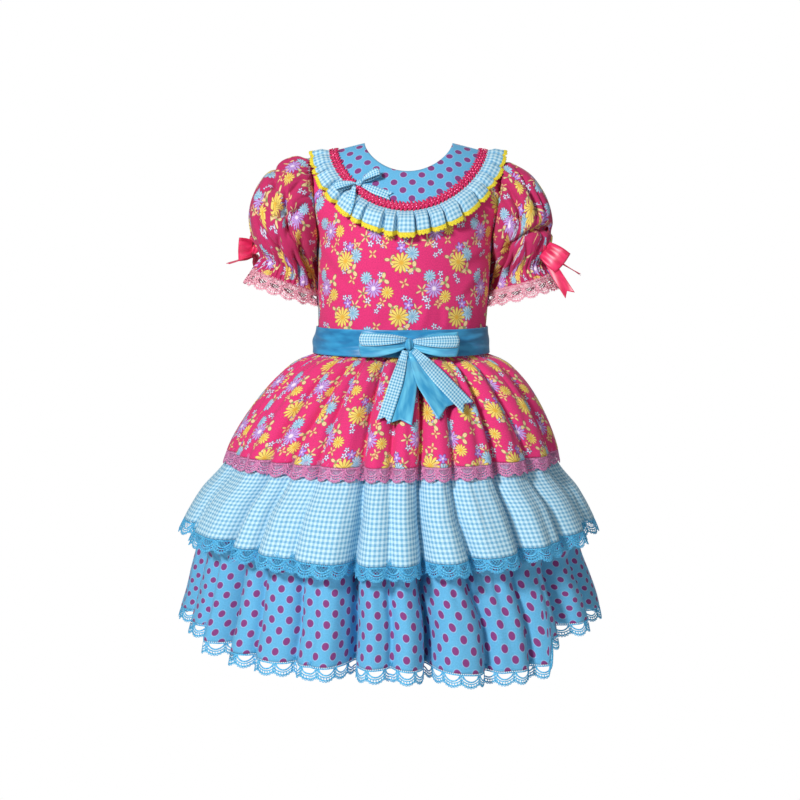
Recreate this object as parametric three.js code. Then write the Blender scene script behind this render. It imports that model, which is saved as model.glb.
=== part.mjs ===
// A child's festa junina dress, held open as if worn: bodice, round yoke with a
// gathered collar ruffle, puff sleeves, ribbon sash with a bow, and three skirt tiers
// edged with lace. Millimetres, +Z up, the wearer faces -Y, and the origin lies
// between the shoulders where the wearer carries it.
import * as THREE from "three";

// Driving dimensions
const CLOTH = 1.6;
const LACE = 1.0;
const RIBBON = 0.9;
const SEAM = 0.3;
const WAIST_Z = -238;
const ARMPIT_Z = -112;
const NECK_X = 54;
const NECK_TOP_Z = 6;
const SHOULDER_SLOPE = 0.25;
const SHOULDER_END_X = 117;
const SHOULDER_CROWN = 120;
const CROWN_POWER = 0.75;
const SHOULDER_ROUND = 12;
const NECK_CURVE = 1.35;
const LACE_DROP = 20;
const STEEPEST = 2.3;
const LEAN = 0.035;

const DEGREE = Math.PI / 180;
const FRONT = -1;
const BACK = 1;
const LEFT = -1;
const RIGHT = 1;

// Half widths and depths of the body of the dress from waist to shoulder
const BODY = [
  { z: -240, width: 103.5, edge: 103.5, front: 80, back: 72 },
  { z: -180, width: 106, edge: 106, front: 84, back: 74 },
  { z: -112, width: 108, edge: 108, front: 88, back: 80 },
  { z: -60, width: 130, edge: 113, front: 82, back: 82 },
  { z: -12, width: 132, edge: 117, front: 80, back: 80 },
  { z: 10, width: 132, edge: 117, front: 80, back: 80 },
];

// Crest outline of each skirt tier: "fold" scales the valleys of the fold table, and
// "lift" is how much higher the row hangs at the sides than at the front and back
const TIER_ONE = [
  { z: -238.3, width: 103.5, front: 80, back: 72, fold: 0.3, lift: 0 },
  { z: -252, width: 107, front: 84, back: 77, fold: 0.35, lift: 0 },
  { z: -266, width: 135, front: 112, back: 106, fold: 0.8, lift: 0 },
  { z: -310, width: 175, front: 154, back: 150, fold: 1, lift: 0 },
  { z: -366, width: 205, front: 189, back: 187, fold: 0.9, lift: 0 },
  { z: -386, width: 211, front: 197, back: 195, fold: 0.9, lift: 0 },
];
const TIER_TWO = [
  { z: -352, width: 196, front: 179, back: 177, fold: 0.5, lift: 0 },
  { z: -387, width: 208, front: 193, back: 191, fold: 0.75, lift: 0 },
  { z: -424, width: 238, front: 222, back: 220, fold: 1, lift: 7 },
  { z: -468, width: 262, front: 246, back: 244, fold: 1.1, lift: 17 },
  { z: -490, width: 271, front: 255, back: 253, fold: 1.1, lift: 17 },
];
const TIER_THREE = [
  { z: -440, width: 233, front: 219, back: 217, fold: 0.6, lift: 0 },
  { z: -490, width: 240, front: 226, back: 224, fold: 0.85, lift: 0 },
  { z: -530, width: 252, front: 239, back: 237, fold: 1, lift: 0 },
  { z: -582, width: 267, front: 255, back: 253, fold: 1.1, lift: 0 },
  { z: -602, width: 271, front: 259, back: 257, fold: 1.1, lift: 0 },
];

// Valleys of the skirt: where each lies, in degrees round from the centre front, on
// the three tiers, how wide it is and how deep it runs on each tier
const FOLD_HEIGHTS = { upper: -300, middle: -425, lower: -545 };
const FRONT_FOLDS = [
  { upper: -73, middle: -74, lower: -74, width: 4.5, first: 5, second: 9, third: 14 },
  { upper: -49, middle: -51, lower: -51, width: 4.0, first: 8, second: 18, third: 26 },
  { upper: -37, middle: -40, lower: -39, width: 3.4, first: 7, second: 10, third: 9 },
  { upper: -28, middle: -27, lower: -26, width: 3.4, first: 6, second: 6, third: 10 },
  { upper: -13, middle: -9.5, lower: -10.5, width: 3.2, first: 9, second: 19, third: 24 },
  { upper: -1.5, middle: 0.5, lower: 0.5, width: 3.0, first: 7, second: 6, third: 9 },
  { upper: 12, middle: 10, lower: 11.5, width: 3.6, first: 11, second: 19, third: 26 },
  { upper: 24, middle: 22, lower: 28, width: 3.4, first: 6, second: 13, third: 14 },
  { upper: 41, middle: 40, lower: 41, width: 3.4, first: 9, second: 14, third: 9 },
  { upper: 54, middle: 58, lower: 56, width: 4.0, first: 7, second: 10, third: 27 },
  { upper: 74, middle: 75, lower: 74, width: 4.5, first: 5, second: 9, third: 13 },
];
const BACK_FOLD_COUNT = 9;
const BACK_FOLDS = Array.from({ length: BACK_FOLD_COUNT }, (_, k) => {
  const at = 99 + 20.2 * k + 2.4 * Math.sin(2.1 * k);
  const swing = Math.cos(1.7 * k);
  return {
    upper: at,
    middle: at + 1.2 * swing,
    lower: at - 1.5 * swing,
    width: 3.9 + 0.3 * swing,
    first: 7 + 1.5 * swing,
    second: 13 + 4 * swing,
    third: 18 + 6 * swing,
  };
});
const ALL_FOLDS = [...FRONT_FOLDS, ...BACK_FOLDS];
const VALLEY_SPAN = 1.15;

// Sleeve rings from the armhole to the hem: the top and underarm points of the
// ring seen from the front, its half depth and the height of its gathers
const SLEEVE_RINGS = [
  { topX: 124, topZ: -13, underX: 111.5, underZ: -113, depth: 38, gather: 1 },
  { topX: 141, topZ: -11, underX: 112, underZ: -119, depth: 48, gather: 3 },
  { topX: 167, topZ: -25, underX: 112.5, underZ: -126, depth: 57, gather: 3.5 },
  { topX: 187, topZ: -53, underX: 113, underZ: -133, depth: 60, gather: 3 },
  { topX: 194, topZ: -80, underX: 113, underZ: -141, depth: 59, gather: 3 },
  { topX: 190, topZ: -108, underX: 113, underZ: -151, depth: 52, gather: 3.5 },
  { topX: 180, topZ: -132, underX: 114, underZ: -162, depth: 39, gather: 2.5 },
  { topX: 188, topZ: -148, underX: 113, underZ: -178, depth: 44, gather: 3.5 },
];
const SLEEVE_COLUMNS = 24;
const CUFF_LACE = { topX: 197, topZ: -163, underX: 113, underZ: -195, depth: 49 };
const CUFF_LACE_CELLS = { front: 7, back: 6 };
const CUFF_RADIUS = 45;
const ARMHOLE_GAP = 0.4;

// Lace repeats, one cut gap each
const LACE_CELLS = {
  one: { front: 40, back: 36 },
  two: { front: 50, back: 46 },
  three: { front: 54, back: 48 },
};
const GAP = { left: 0.14, right: 0.86, top: 5, apex: 13.5 };

// Rings round the neck on the body surface: half width and lowest point
const NECKLINE = { x: 54, low: -30 };
const YOKE_EDGE = { x: 94, low: -76 };
const BODICE_EDGE = { x: 94.5, low: -76.5 };
const BRAID_INNER = { x: 90, low: -72.5 };
const BRAID_OUTER = { x: 95.4, low: -77.4 };
const RUFFLE_INNER = { x: 95.9, low: -77.9 };
const RUFFLE_OUTER = { x: 116, low: -105 };
const EDGING_OUTER = { x: 119.5, low: -110 };
const RUFFLE_PLEATS = 36;
const RUFFLE_WAVE = 5;
const RUFFLE_FLARE = { seam: 0.8, front: 2, shoulder: 4 };
const NECK_STEP = 15;
const PANEL_SHOULDER = 0.86;

// Sash and bows
const SASH_TOP_Z = -219;
const SASH_BOTTOM_Z = -252;
const SASH_COLUMNS = 32;
const KNOT = new THREE.Vector3(9, -89.2, -236);

const COLOURS = {
  floral: [0xe0246f, 0.85],
  dots: [0x55b4e2, 0.85],
  gingham: [0xa6dcee, 0.85],
  blueLace: [0x2e9fd8, 0.8],
  pinkLace: [0xe0559c, 0.8],
  yellowLace: [0xf1e02e, 0.8],
  braid: [0xe8205c, 0.7],
  blueSatin: [0x3fb3dc, 0.35],
  pinkSatin: [0xf02463, 0.35],
};
const MATERIALS = Object.fromEntries(
  Object.entries(COLOURS).map(([key, [color, roughness]]) => [
    key,
    new THREE.MeshStandardMaterial({ color, roughness, metalness: 0 }),
  ]),
);

const dress = new THREE.Group();
dress.name = "festa_junina_dress";

const mix = (a, b, t) => a + (b - a) * t;
const clamp = (v, low, high) => Math.min(high, Math.max(low, v));

// Straight-line reading of a table whose rows run down or up in z
function read(table, z, key) {
  const rows = table[0].z > table[table.length - 1].z ? [...table].reverse() : table;
  if (z <= rows[0].z) return rows[0][key];
  for (let i = 1; i < rows.length; i += 1) {
    if (z <= rows[i].z) {
      const t = (z - rows[i - 1].z) / (rows[i].z - rows[i - 1].z);
      return mix(rows[i - 1][key], rows[i][key], t);
    }
  }
  return rows[rows.length - 1][key];
}

// Wall from matching outer and inner points: both faces, and a strip along every
// free edge
function wallGeometry(outer, inner, faces) {
  const count = outer.length;
  const position = [];
  [...outer, ...inner].forEach((p) => position.push(p.x, p.y, p.z));
  const index = [];
  const used = new Set();
  faces.forEach(([a, b, c]) => {
    index.push(a, b, c, count + a, count + c, count + b);
    used.add(`${a},${b}`).add(`${b},${c}`).add(`${c},${a}`);
  });
  used.forEach((key) => {
    const [a, b] = key.split(",").map(Number);
    if (used.has(`${b},${a}`)) return;
    index.push(b, a, count + a, b, count + a, count + b);
  });
  return closedGeometry(position, index);
}

// Indexed geometry with its faces turned outwards
function closedGeometry(position, index) {
  const at = (i) => new THREE.Vector3().fromArray(position, i * 3);
  let volume = 0;
  for (let i = 0; i < index.length; i += 3) {
    volume += at(index[i]).dot(at(index[i + 1]).cross(at(index[i + 2])));
  }
  if (volume < 0) {
    for (let i = 0; i < index.length; i += 3) {
      [index[i + 1], index[i + 2]] = [index[i + 2], index[i + 1]];
    }
  }
  const geometry = new THREE.BufferGeometry();
  geometry.setAttribute("position", new THREE.Float32BufferAttribute(position, 3));
  geometry.setIndex(index);
  geometry.computeVertexNormals();
  return geometry;
}

// Faces of a grid of points; "closed" joins the last column to the first
function gridFaces(rows, columns, closed) {
  const faces = [];
  const spans = closed ? columns : columns - 1;
  for (let i = 0; i + 1 < rows; i += 1) {
    for (let j = 0; j < spans; j += 1) {
      const k = (j + 1) % columns;
      const a = i * columns + j;
      const b = i * columns + k;
      const c = (i + 1) * columns + k;
      const d = (i + 1) * columns + j;
      faces.push([a, b, c], [a, c, d]);
    }
  }
  return faces;
}

function addPiece(name, geometry, material) {
  const mesh = new THREE.Mesh(geometry, MATERIALS[material]);
  mesh.name = name;
  dress.add(mesh);
}

function addSheet(name, outerRows, innerRows, closed, material) {
  const faces = gridFaces(outerRows.length, outerRows[0].length, closed);
  addPiece(name, wallGeometry(outerRows.flat(), innerRows.flat(), faces), material);
}

// Body surface of the bodice, yoke and collar
const shoulderZ = (x) => NECK_TOP_Z - SHOULDER_SLOPE * Math.max(0, Math.abs(x) - NECK_X);

function bodyY(x, z, face) {
  const full = read(BODY, z, face === FRONT ? "front" : "back");
  const across = clamp(1 - (x / read(BODY, z, "width")) ** 2, 0, 1);
  const down = clamp((shoulderZ(x) - z) / SHOULDER_CROWN, 0, 1);
  return face * full * Math.sqrt(across) * (1 - (1 - down) ** 2) ** CROWN_POWER;
}

function bodyNormal(x, z, face) {
  const step = 0.5;
  const level = Math.min(z, shoulderZ(x) - 1.2);
  const slopeX = (bodyY(x + step, level, face) - bodyY(x - step, level, face)) / (2 * step);
  const slopeZ = (bodyY(x, level + step, face) - bodyY(x, level - step, face)) / (2 * step);
  const normal = new THREE.Vector3(-slopeX, 1, -slopeZ).multiplyScalar(face);
  // Over the shoulder seam the two faces share one upright direction
  normal.y *= clamp(Math.abs(bodyY(x, z, face)) / SHOULDER_ROUND, 0, 1);
  return normal.normalize();
}

// A point on the body, lifted off it, on its own side of the side and shoulder seams
function onBody(x, z, face, lift) {
  const p = new THREE.Vector3(x, bodyY(x, z, face), z);
  p.addScaledVector(bodyNormal(x, z, face), lift);
  p.y = face * Math.max(face * p.y, SEAM / 2);
  return p;
}

function ringZ(ring, angle) {
  const top = shoulderZ(ring.x);
  return top - (top - ring.low) * Math.max(0, Math.abs(Math.cos(angle))) ** NECK_CURVE;
}

// Bodice panels: "across" runs from side seam to side seam and "up" from the waist to
// the yoke, with the part of the shoulder beside the yoke at either end
function panelPoint(across, up, face, lift) {
  const side = Math.abs(across);
  const yokePart = Math.min(1, side / PANEL_SHOULDER);
  const angle = Math.sign(across) * yokePart * 90 * DEGREE;
  const beyond = Math.max(0, side - PANEL_SHOULDER) / (1 - PANEL_SHOULDER);
  const edgeTopX = read(BODY, shoulderZ(SHOULDER_END_X), "edge");
  const topX = Math.sign(across) * mix(BODICE_EDGE.x * Math.abs(Math.sin(angle)), edgeTopX, beyond);
  const topZ = beyond > 0 ? shoulderZ(topX) : ringZ(BODICE_EDGE, angle);
  const bottomX = across * read(BODY, WAIST_Z, "edge");
  const z = mix(WAIST_Z, topZ, up);
  const straight = mix(Math.abs(bottomX), Math.abs(topX), up);
  const bulge = read(BODY, z, "edge") - mix(read(BODY, WAIST_Z, "edge"), edgeTopX, up);
  const x = Math.sign(across) * (straight + bulge * side ** 3);
  return onBody(x, z, face, lift);
}

const PANEL_ROWS = [0, 0.22, 0.45, 0.65, 0.82, 0.93, 1];
const CLOSURE = 0.004;
const NECK_STEPS = 90 / NECK_STEP;
const HALF_PANEL = Array.from({ length: NECK_STEPS + 1 }, (_, k) => {
  return Math.max(CLOSURE, (PANEL_SHOULDER * k) / NECK_STEPS);
}).concat(1);

function addBodicePanel(name, face, columns) {
  const layer = (lift) =>
    PANEL_ROWS.map((up) => columns.map((across) => panelPoint(across, up, face, lift)));
  addSheet(name, layer(0), layer(-CLOTH), false, "floral");
}

const LEFT_HALF = HALF_PANEL.map((across) => -across).reverse();
addBodicePanel("bodice_front", FRONT, [...LEFT_HALF.slice(0, -1), 0, ...HALF_PANEL.slice(1)]);
addBodicePanel("bodice_back_left", BACK, LEFT_HALF);
addBodicePanel("bodice_back_right", BACK, HALF_PANEL);

// Rings round the neck. Angle 0 is the centre front and 180 the centre back.
function neckPoint(ring, angle, lift) {
  const face = Math.cos(angle) >= 0 ? FRONT : BACK;
  return onBody(ring.x * Math.sin(angle), ringZ(ring, angle), face, lift);
}

const mixRing = (a, b, t) => ({ x: mix(a.x, b.x, t), low: mix(a.low, b.low, t) });

const SHOULDER_GAP = 0.2;
const BACK_GAP = 0.35;
const FRONT_END = 90 - SHOULDER_GAP;
const BACK_START = 90 + SHOULDER_GAP;
const BACK_END = 180 - BACK_GAP;

// Angles in whole steps between two ends, which keep their own gap at a seam
function neckAngles(from, to, step) {
  const angles = [from];
  for (let k = Math.floor(from / step) + 1; k * step < to - 1; k += 1) {
    if (k * step > from + 1) angles.push(k * step);
  }
  return [...angles, to].map((angle) => angle * DEGREE);
}

function addNeckBand(name, rings, angles, lift, thickness, material) {
  const layer = (extra) =>
    rings.map((ring, row) => angles.map((angle) => neckPoint(ring, angle, lift(row, angle) + extra)));
  addSheet(name, layer(thickness), layer(0), false, material);
}

const YOKE_RINGS = [NECKLINE, mixRing(NECKLINE, YOKE_EDGE, 0.5), YOKE_EDGE];
[
  { name: "yoke_front", from: -FRONT_END, to: FRONT_END },
  { name: "yoke_back_left", from: -BACK_END, to: -BACK_START },
  { name: "yoke_back_right", from: BACK_START, to: BACK_END },
].forEach(({ name, from, to }) => {
  addNeckBand(name, YOKE_RINGS, neckAngles(from, to, NECK_STEP), () => -CLOTH, CLOTH, "dots");
});

// Braid over the yoke seam, then the gathered collar ruffle and its edging
const BRAID_LIFT = 0.7;
const BRAID_THICKNESS = 1.1;
const braidAngles = neckAngles(-BACK_END, BACK_END, NECK_STEP);
const braidLift = () => BRAID_LIFT;
addNeckBand("collar_braid", [BRAID_INNER, BRAID_OUTER], braidAngles, braidLift, BRAID_THICKNESS, "braid");

const RUFFLE_THICKNESS = 1.2;
const EDGING_SHARE = 0.12;
const ruffleAngles = neckAngles(-BACK_END, BACK_END, 180 / RUFFLE_PLEATS);
const ruffleWave = (angle) => 0.5 + 0.5 * Math.cos(RUFFLE_PLEATS * angle);

// "share" is 0 where the ruffle is sewn on and 1 at its edge
function ruffleLift(share, angle) {
  const flare = RUFFLE_FLARE.front + RUFFLE_FLARE.shoulder * Math.sin(angle) ** 2;
  return RUFFLE_FLARE.seam + share * (flare + RUFFLE_WAVE * ruffleWave(angle));
}
addNeckBand(
  "collar_ruffle",
  [RUFFLE_INNER, RUFFLE_OUTER],
  ruffleAngles,
  ruffleLift,
  RUFFLE_THICKNESS,
  "gingham",
);
addNeckBand(
  "collar_edging",
  [mixRing(RUFFLE_OUTER, EDGING_OUTER, EDGING_SHARE), EDGING_OUTER],
  ruffleAngles,
  (row, angle) => ruffleLift(1 + EDGING_SHARE * row, angle),
  RUFFLE_THICKNESS,
  "yellowLace",
);

// Skirt tiers
function foldAngle(fold, z) {
  const { upper, middle, lower } = FOLD_HEIGHTS;
  if (z > middle) return mix(fold.middle, fold.upper, clamp((z - middle) / (upper - middle), 0, 1));
  return mix(fold.lower, fold.middle, clamp((z - lower) / (middle - lower), 0, 1));
}

function foldDepth(theta, z, key) {
  return ALL_FOLDS.reduce((sum, fold) => {
    let away = theta / DEGREE - foldAngle(fold, z);
    away -= 360 * Math.round(away / 360);
    return sum + fold[key] * Math.exp(-((away / fold.width) ** 2));
  }, 0);
}

function crestRadius(table, theta, z) {
  const width = read(table, z, "width");
  const depth = read(table, z, Math.cos(theta) >= 0 ? "front" : "back");
  return 1 / Math.hypot(Math.sin(theta) / width, Math.cos(theta) / depth);
}

const tierOne = (theta, z) =>
  crestRadius(TIER_ONE, theta, z) - read(TIER_ONE, z, "fold") * foldDepth(theta, z, "first");

// A tier hangs inside the one above it: it starts at a seam on the inner face of that
// tier, "gap" from it, and keeps clear of it down to the end of its lace
const TWO_SEAM = { z: -352, free: -387, gap: 0.7 };
const THREE_SEAM = { z: -440, free: -490, gap: 1.35 };
const FREE_GAP = 4.2;

function under(seam, own, above, z) {
  if (z < seam.free) return own;
  const share = clamp((z - seam.free) / (seam.z - seam.free), 0, 1);
  const limit = above - mix(FREE_GAP, seam.gap, share);
  return Math.min(mix(own, limit, share), limit);
}

function tierTwo(theta, z) {
  const own =
    crestRadius(TIER_TWO, theta, z) - read(TIER_TWO, z, "fold") * foldDepth(theta, z, "second");
  return under(TWO_SEAM, own, tierOne(theta, z) - steepness(tierOne, theta, z) * CLOTH, z);
}

function tierThree(theta, z) {
  const own =
    crestRadius(TIER_THREE, theta, z) - read(TIER_THREE, z, "fold") * foldDepth(theta, z, "third");
  return under(THREE_SEAM, own, tierTwo(theta, z) - steepness(tierTwo, theta, z) * CLOTH, z);
}

// How much further a wall's far face lies, measured along the radius, where the
// surface slopes round or down the skirt
function steepness(radius, theta, z) {
  const turn = 0.6 * DEGREE;
  const round = (radius(theta + turn, z) - radius(theta - turn, z)) / (2 * turn * radius(theta, z));
  const down = radius(theta, z + 1) - radius(theta, z - 1);
  return Math.min(STEEPEST, Math.hypot(1, round, down / 2));
}

function polar(theta, radius, z) {
  return new THREE.Vector3(radius * Math.sin(theta), -radius * Math.cos(theta), z);
}

function skirtPoint(radius, theta, z, lift, depth) {
  const height = z + lift * Math.sin(theta) ** 2;
  const far = depth * steepness(radius, theta, height);
  return polar(theta, radius(theta, height) - far, height);
}

// Columns follow the folds down the skirt: two flanks and a floor for each valley
// and one crest between neighbours
function foldColumns(folds, from, to, z, radius) {
  const inset = SEAM / 2 / radius;
  const columns = [from * DEGREE + inset];
  folds.forEach((fold, i) => {
    const at = foldAngle(fold, z);
    const span = VALLEY_SPAN * fold.width;
    columns.push((at - span) * DEGREE, at * DEGREE, (at + span) * DEGREE);
    if (i + 1 < folds.length) {
      const next = foldAngle(folds[i + 1], z) - VALLEY_SPAN * folds[i + 1].width;
      columns.push(((at + span + next) / 2) * DEGREE);
    }
  });
  columns.push(to * DEGREE - inset);
  return columns;
}

const HALVES = {
  front: { folds: FRONT_FOLDS, from: -90, to: 90 },
  back: { folds: BACK_FOLDS, from: 90, to: 270 },
};

function addTier(name, radius, table, material) {
  const rows = table.slice(0, -1);
  Object.entries(HALVES).forEach(([half, { folds, from, to }]) => {
    const layer = (depth) =>
      rows.map(({ z, width, lift }) =>
        foldColumns(folds, from, to, z, width).map((theta) => skirtPoint(radius, theta, z, lift, depth)),
      );
    addSheet(`${name}_${half}`, layer(0), layer(CLOTH), false, material);
  });
}

addTier("skirt_tier_one", tierOne, TIER_ONE, "floral");
addTier("skirt_tier_two", tierTwo, TIER_TWO, "gingham");
addTier("skirt_tier_three", tierThree, TIER_THREE, "dots");

// Lace: one cell for each repeat, with its largest gap cut through
const CELL_FACES = [
  [0, 4, 5],
  [0, 5, 1],
  [1, 5, 2],
  [2, 5, 6],
  [2, 6, 3],
  [3, 6, 4],
  [3, 4, 0],
];

function addLaceStrip(name, cells, place, material) {
  const outer = [];
  const inner = [];
  const faces = [];
  const add = (along, down) => {
    outer.push(place(along, down, 0));
    inner.push(place(along, down, LACE));
    return outer.length - 1;
  };
  let top = add(0, 0);
  let bottom = add(0, LACE_DROP);
  for (let cell = 0; cell < cells; cell += 1) {
    const nextTop = add(cell + 1, 0);
    const nextBottom = add(cell + 1, LACE_DROP);
    const corners = [
      top,
      nextTop,
      nextBottom,
      bottom,
      add(cell + GAP.left, GAP.top),
      add(cell + GAP.right, GAP.top),
      add(cell + 0.5, GAP.apex),
    ];
    CELL_FACES.forEach((face) => faces.push(face.map((i) => corners[i])));
    top = nextTop;
    bottom = nextBottom;
  }
  addPiece(name, wallGeometry(outer, inner, faces), material);
}

// Angles that part a tier's edge into equal lengths of cloth
function evenAngles(radius, { z, lift }, from, to, cells) {
  const steps = 720;
  const lengths = [0];
  let before = skirtPoint(radius, from, z, lift, 0);
  for (let i = 1; i <= steps; i += 1) {
    const here = skirtPoint(radius, mix(from, to, i / steps), z, lift, 0);
    lengths.push(lengths[i - 1] + here.distanceTo(before));
    before = here;
  }
  return (along) => {
    const target = (along / cells) * lengths[steps];
    let i = 1;
    while (i < steps && lengths[i] < target) i += 1;
    const t = (target - lengths[i - 1]) / (lengths[i] - lengths[i - 1]);
    return mix(from, to, (i - 1 + t) / steps);
  };
}

// Lace sewn below the last row of cloth of a tier
function addTierLace(name, radius, table, counts, material) {
  const edge = table[table.length - 2];
  const inset = SEAM / 2 / edge.width;
  Object.entries(HALVES).forEach(([half, { from, to }]) => {
    const cells = counts[half];
    const angleAt = evenAngles(radius, edge, from * DEGREE + inset, to * DEGREE - inset, cells);
    const place = (along, down, depth) =>
      skirtPoint(radius, angleAt(along), edge.z - SEAM - down, edge.lift, depth);
    addLaceStrip(`${name}_${half}`, cells, place, material);
  });
}

addTierLace("lace_one", tierOne, TIER_ONE, LACE_CELLS.one, "pinkLace");
addTierLace("lace_two", tierTwo, TIER_TWO, LACE_CELLS.two, "blueLace");
addTierLace("lace_three", tierThree, TIER_THREE, LACE_CELLS.three, "blueLace");

// Sleeves
function ringPoint(ring, side, angle, gather, depth) {
  const top = new THREE.Vector3(side * ring.topX, 0, ring.topZ);
  const underarm = new THREE.Vector3(side * ring.underX, 0, ring.underZ);
  const centre = top.clone().add(underarm).multiplyScalar(0.5);
  const arm = top.clone().sub(centre).multiplyScalar(Math.cos(angle));
  arm.y = -ring.depth * Math.sin(angle);
  const reach = arm.length();
  // Gathers stand up on the outer side and flatten where the sleeve meets the body
  const rise = gather * (0.55 + 0.45 * Math.cos(angle));
  return centre.addScaledVector(arm, (reach + rise - depth) / reach);
}

function armholePoint(side, angle, depth) {
  const topZ = shoulderZ(SHOULDER_END_X);
  const middle = (topZ + ARMPIT_Z) / 2;
  const z = mix(middle, topZ, Math.cos(angle));
  const face = Math.sin(angle) >= 0 ? FRONT : BACK;
  const edge = read(BODY, z, "edge");
  const p = new THREE.Vector3(side * (edge + ARMHOLE_GAP), bodyY(edge, z, face), z);
  const centre = new THREE.Vector3(p.x, 0, middle);
  const spoke = p.clone().sub(centre);
  return centre.addScaledVector(spoke, 1 - depth / spoke.length());
}

function sleeveRow(row, side, depth) {
  return Array.from({ length: SLEEVE_COLUMNS }, (_, j) => {
    const angle = (2 * Math.PI * j) / SLEEVE_COLUMNS;
    if (row < 0) return armholePoint(side, angle, depth);
    const ring = SLEEVE_RINGS[row];
    const gather = ring.gather * (j % 2 === 0 ? 0.5 : -0.5);
    return ringPoint(ring, side, angle, gather, depth);
  });
}

function addSleeve(name, side) {
  const rows = [-1, ...SLEEVE_RINGS.keys()];
  const layer = (depth) => rows.map((row) => sleeveRow(row, side, depth));
  addSheet(`sleeve_${name}`, layer(0), layer(CLOTH), true, "floral");
  const hem = SLEEVE_RINGS[SLEEVE_RINGS.length - 1];
  Object.entries({ front: [0, Math.PI], back: [Math.PI, 2 * Math.PI] }).forEach(
    ([half, [from, to]]) => {
      const cells = CUFF_LACE_CELLS[half];
      const inset = SEAM / 2 / CUFF_RADIUS;
      const place = (along, down, depth) => {
        const angle = mix(from + inset, to - inset, along / cells);
        const share = (down + SEAM) / LACE_DROP;
        const ring = Object.fromEntries(
          Object.keys(CUFF_LACE).map((key) => [key, mix(hem[key], CUFF_LACE[key], share)]),
        );
        return ringPoint(ring, side, angle, 0, depth);
      };
      addLaceStrip(`cuff_lace_${name}_${half}`, cells, place, "pinkLace");
    },
  );
}
addSleeve("left", LEFT);
addSleeve("right", RIGHT);

// Sash: a flat ribbon over the waist seam
const SASH_RINGS = [
  { z: SASH_TOP_Z, width: 105.6, front: 82.6, back: 74.6 },
  { z: WAIST_Z, width: 105.9, front: 82.5, back: 75.4 },
  { z: SASH_BOTTOM_Z, width: 108.8, front: 85.8, back: 78.8 },
];
function sashLayer(depth) {
  return SASH_RINGS.map((ring) =>
    Array.from({ length: SASH_COLUMNS }, (_, j) => {
      const theta = (2 * Math.PI * j) / SASH_COLUMNS;
      return polar(theta, crestRadius(SASH_RINGS, theta, ring.z) + depth, ring.z);
    }),
  );
}
addSheet("sash", sashLayer(RIBBON), sashLayer(0), true, "blueSatin");

// Bows. A loop runs out from the knot along "out", stands off it along "face" and has
// its ribbon's width along "wide". Each row gives a point of the loop's line as shares
// of its length, height and half width.
const LOOP_LINE = [
  { out: 0, rise: 0.2, wide: 0.45 },
  { out: 0.3, rise: 0.75, wide: 0.85 },
  { out: 0.7, rise: 0.9, wide: 1 },
  { out: 1, rise: 0.3, wide: 1 },
  { out: 0.9, rise: -0.28, wide: 1 },
  { out: 0.35, rise: -0.3, wide: 0.85 },
  { out: 0, rise: -0.25, wide: 0.45 },
];

function loopLayer(bow, grow) {
  const line = LOOP_LINE.map((row) => new THREE.Vector2(row.out * bow.length, row.rise * bow.puff));
  const count = line.length;
  const points = line.map((p, i) => {
    const before = line[(i + count - 1) % count];
    const after = line[(i + 1) % count];
    const along = after.clone().sub(before).normalize();
    return p.clone().add(new THREE.Vector2(-along.y, along.x).multiplyScalar(grow));
  });
  return [-1, 1].map((edge) =>
    points.map((p, i) =>
      bow.centre
        .clone()
        .addScaledVector(bow.out, bow.start + p.x)
        .addScaledVector(bow.face, p.y)
        .addScaledVector(bow.wide, bow.shift + edge * bow.half * LOOP_LINE[i].wide),
    ),
  );
}

function addLoop(name, bow, grow, material) {
  addSheet(name, loopLayer(bow, grow + RIBBON), loopLayer(bow, grow), true, material);
}

// A knot is a rounded lump with its axes along the bow's own directions
function addKnot(name, bow, size, material) {
  const around = 8;
  const levels = [-0.7, 0, 0.7];
  const points = [bow.centre.clone().addScaledVector(bow.wide, -size.wide)];
  levels.forEach((level) => {
    const reach = Math.sqrt(1 - level * level);
    for (let j = 0; j < around; j += 1) {
      const angle = (2 * Math.PI * (j + 0.5)) / around;
      points.push(
        bow.centre
          .clone()
          .addScaledVector(bow.out, size.out * reach * Math.sin(angle))
          .addScaledVector(bow.face, size.face * reach * Math.cos(angle))
          .addScaledVector(bow.wide, size.wide * level),
      );
    }
  });
  points.push(bow.centre.clone().addScaledVector(bow.wide, size.wide));
  const last = points.length - 1;
  const index = [];
  for (let j = 0; j < around; j += 1) {
    const k = (j + 1) % around;
    index.push(0, 1 + k, 1 + j, last, last - around + j, last - around + k);
    for (let i = 0; i + 1 < levels.length; i += 1) {
      const a = 1 + i * around;
      const b = a + around;
      index.push(a + j, a + k, b + k, a + j, b + k, b + j);
    }
  }
  addPiece(name, closedGeometry(points.flatMap((p) => p.toArray()), index), material);
}

// A ribbon's end cut to a swallowtail. "place" puts a point of the tail's flat
// drawing, which runs from start to end, on the piece that it lies over.
const NOTCH = 0.35;

function addTail(name, tail, place, material) {
  const start = new THREE.Vector2(...tail.start);
  const end = new THREE.Vector2(...tail.end);
  const run = end.clone().sub(start).normalize();
  const across = new THREE.Vector2(-run.y, run.x);
  const layer = (lift) =>
    Array.from({ length: tail.steps + 1 }, (_, i) => {
      const along = i / tail.steps;
      return [-1, 0, 1].map((edge) => {
        const back = edge === 0 && i === tail.steps ? NOTCH / tail.steps : 0;
        const half = mix(tail.halves[0], tail.halves[1], along);
        const flat = start.clone().lerp(end, along - back).addScaledVector(across, edge * half);
        return place(flat, tail.lift + lift, along);
      });
    });
  addSheet(name, layer(RIBBON), layer(0), false, material);
}

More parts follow.
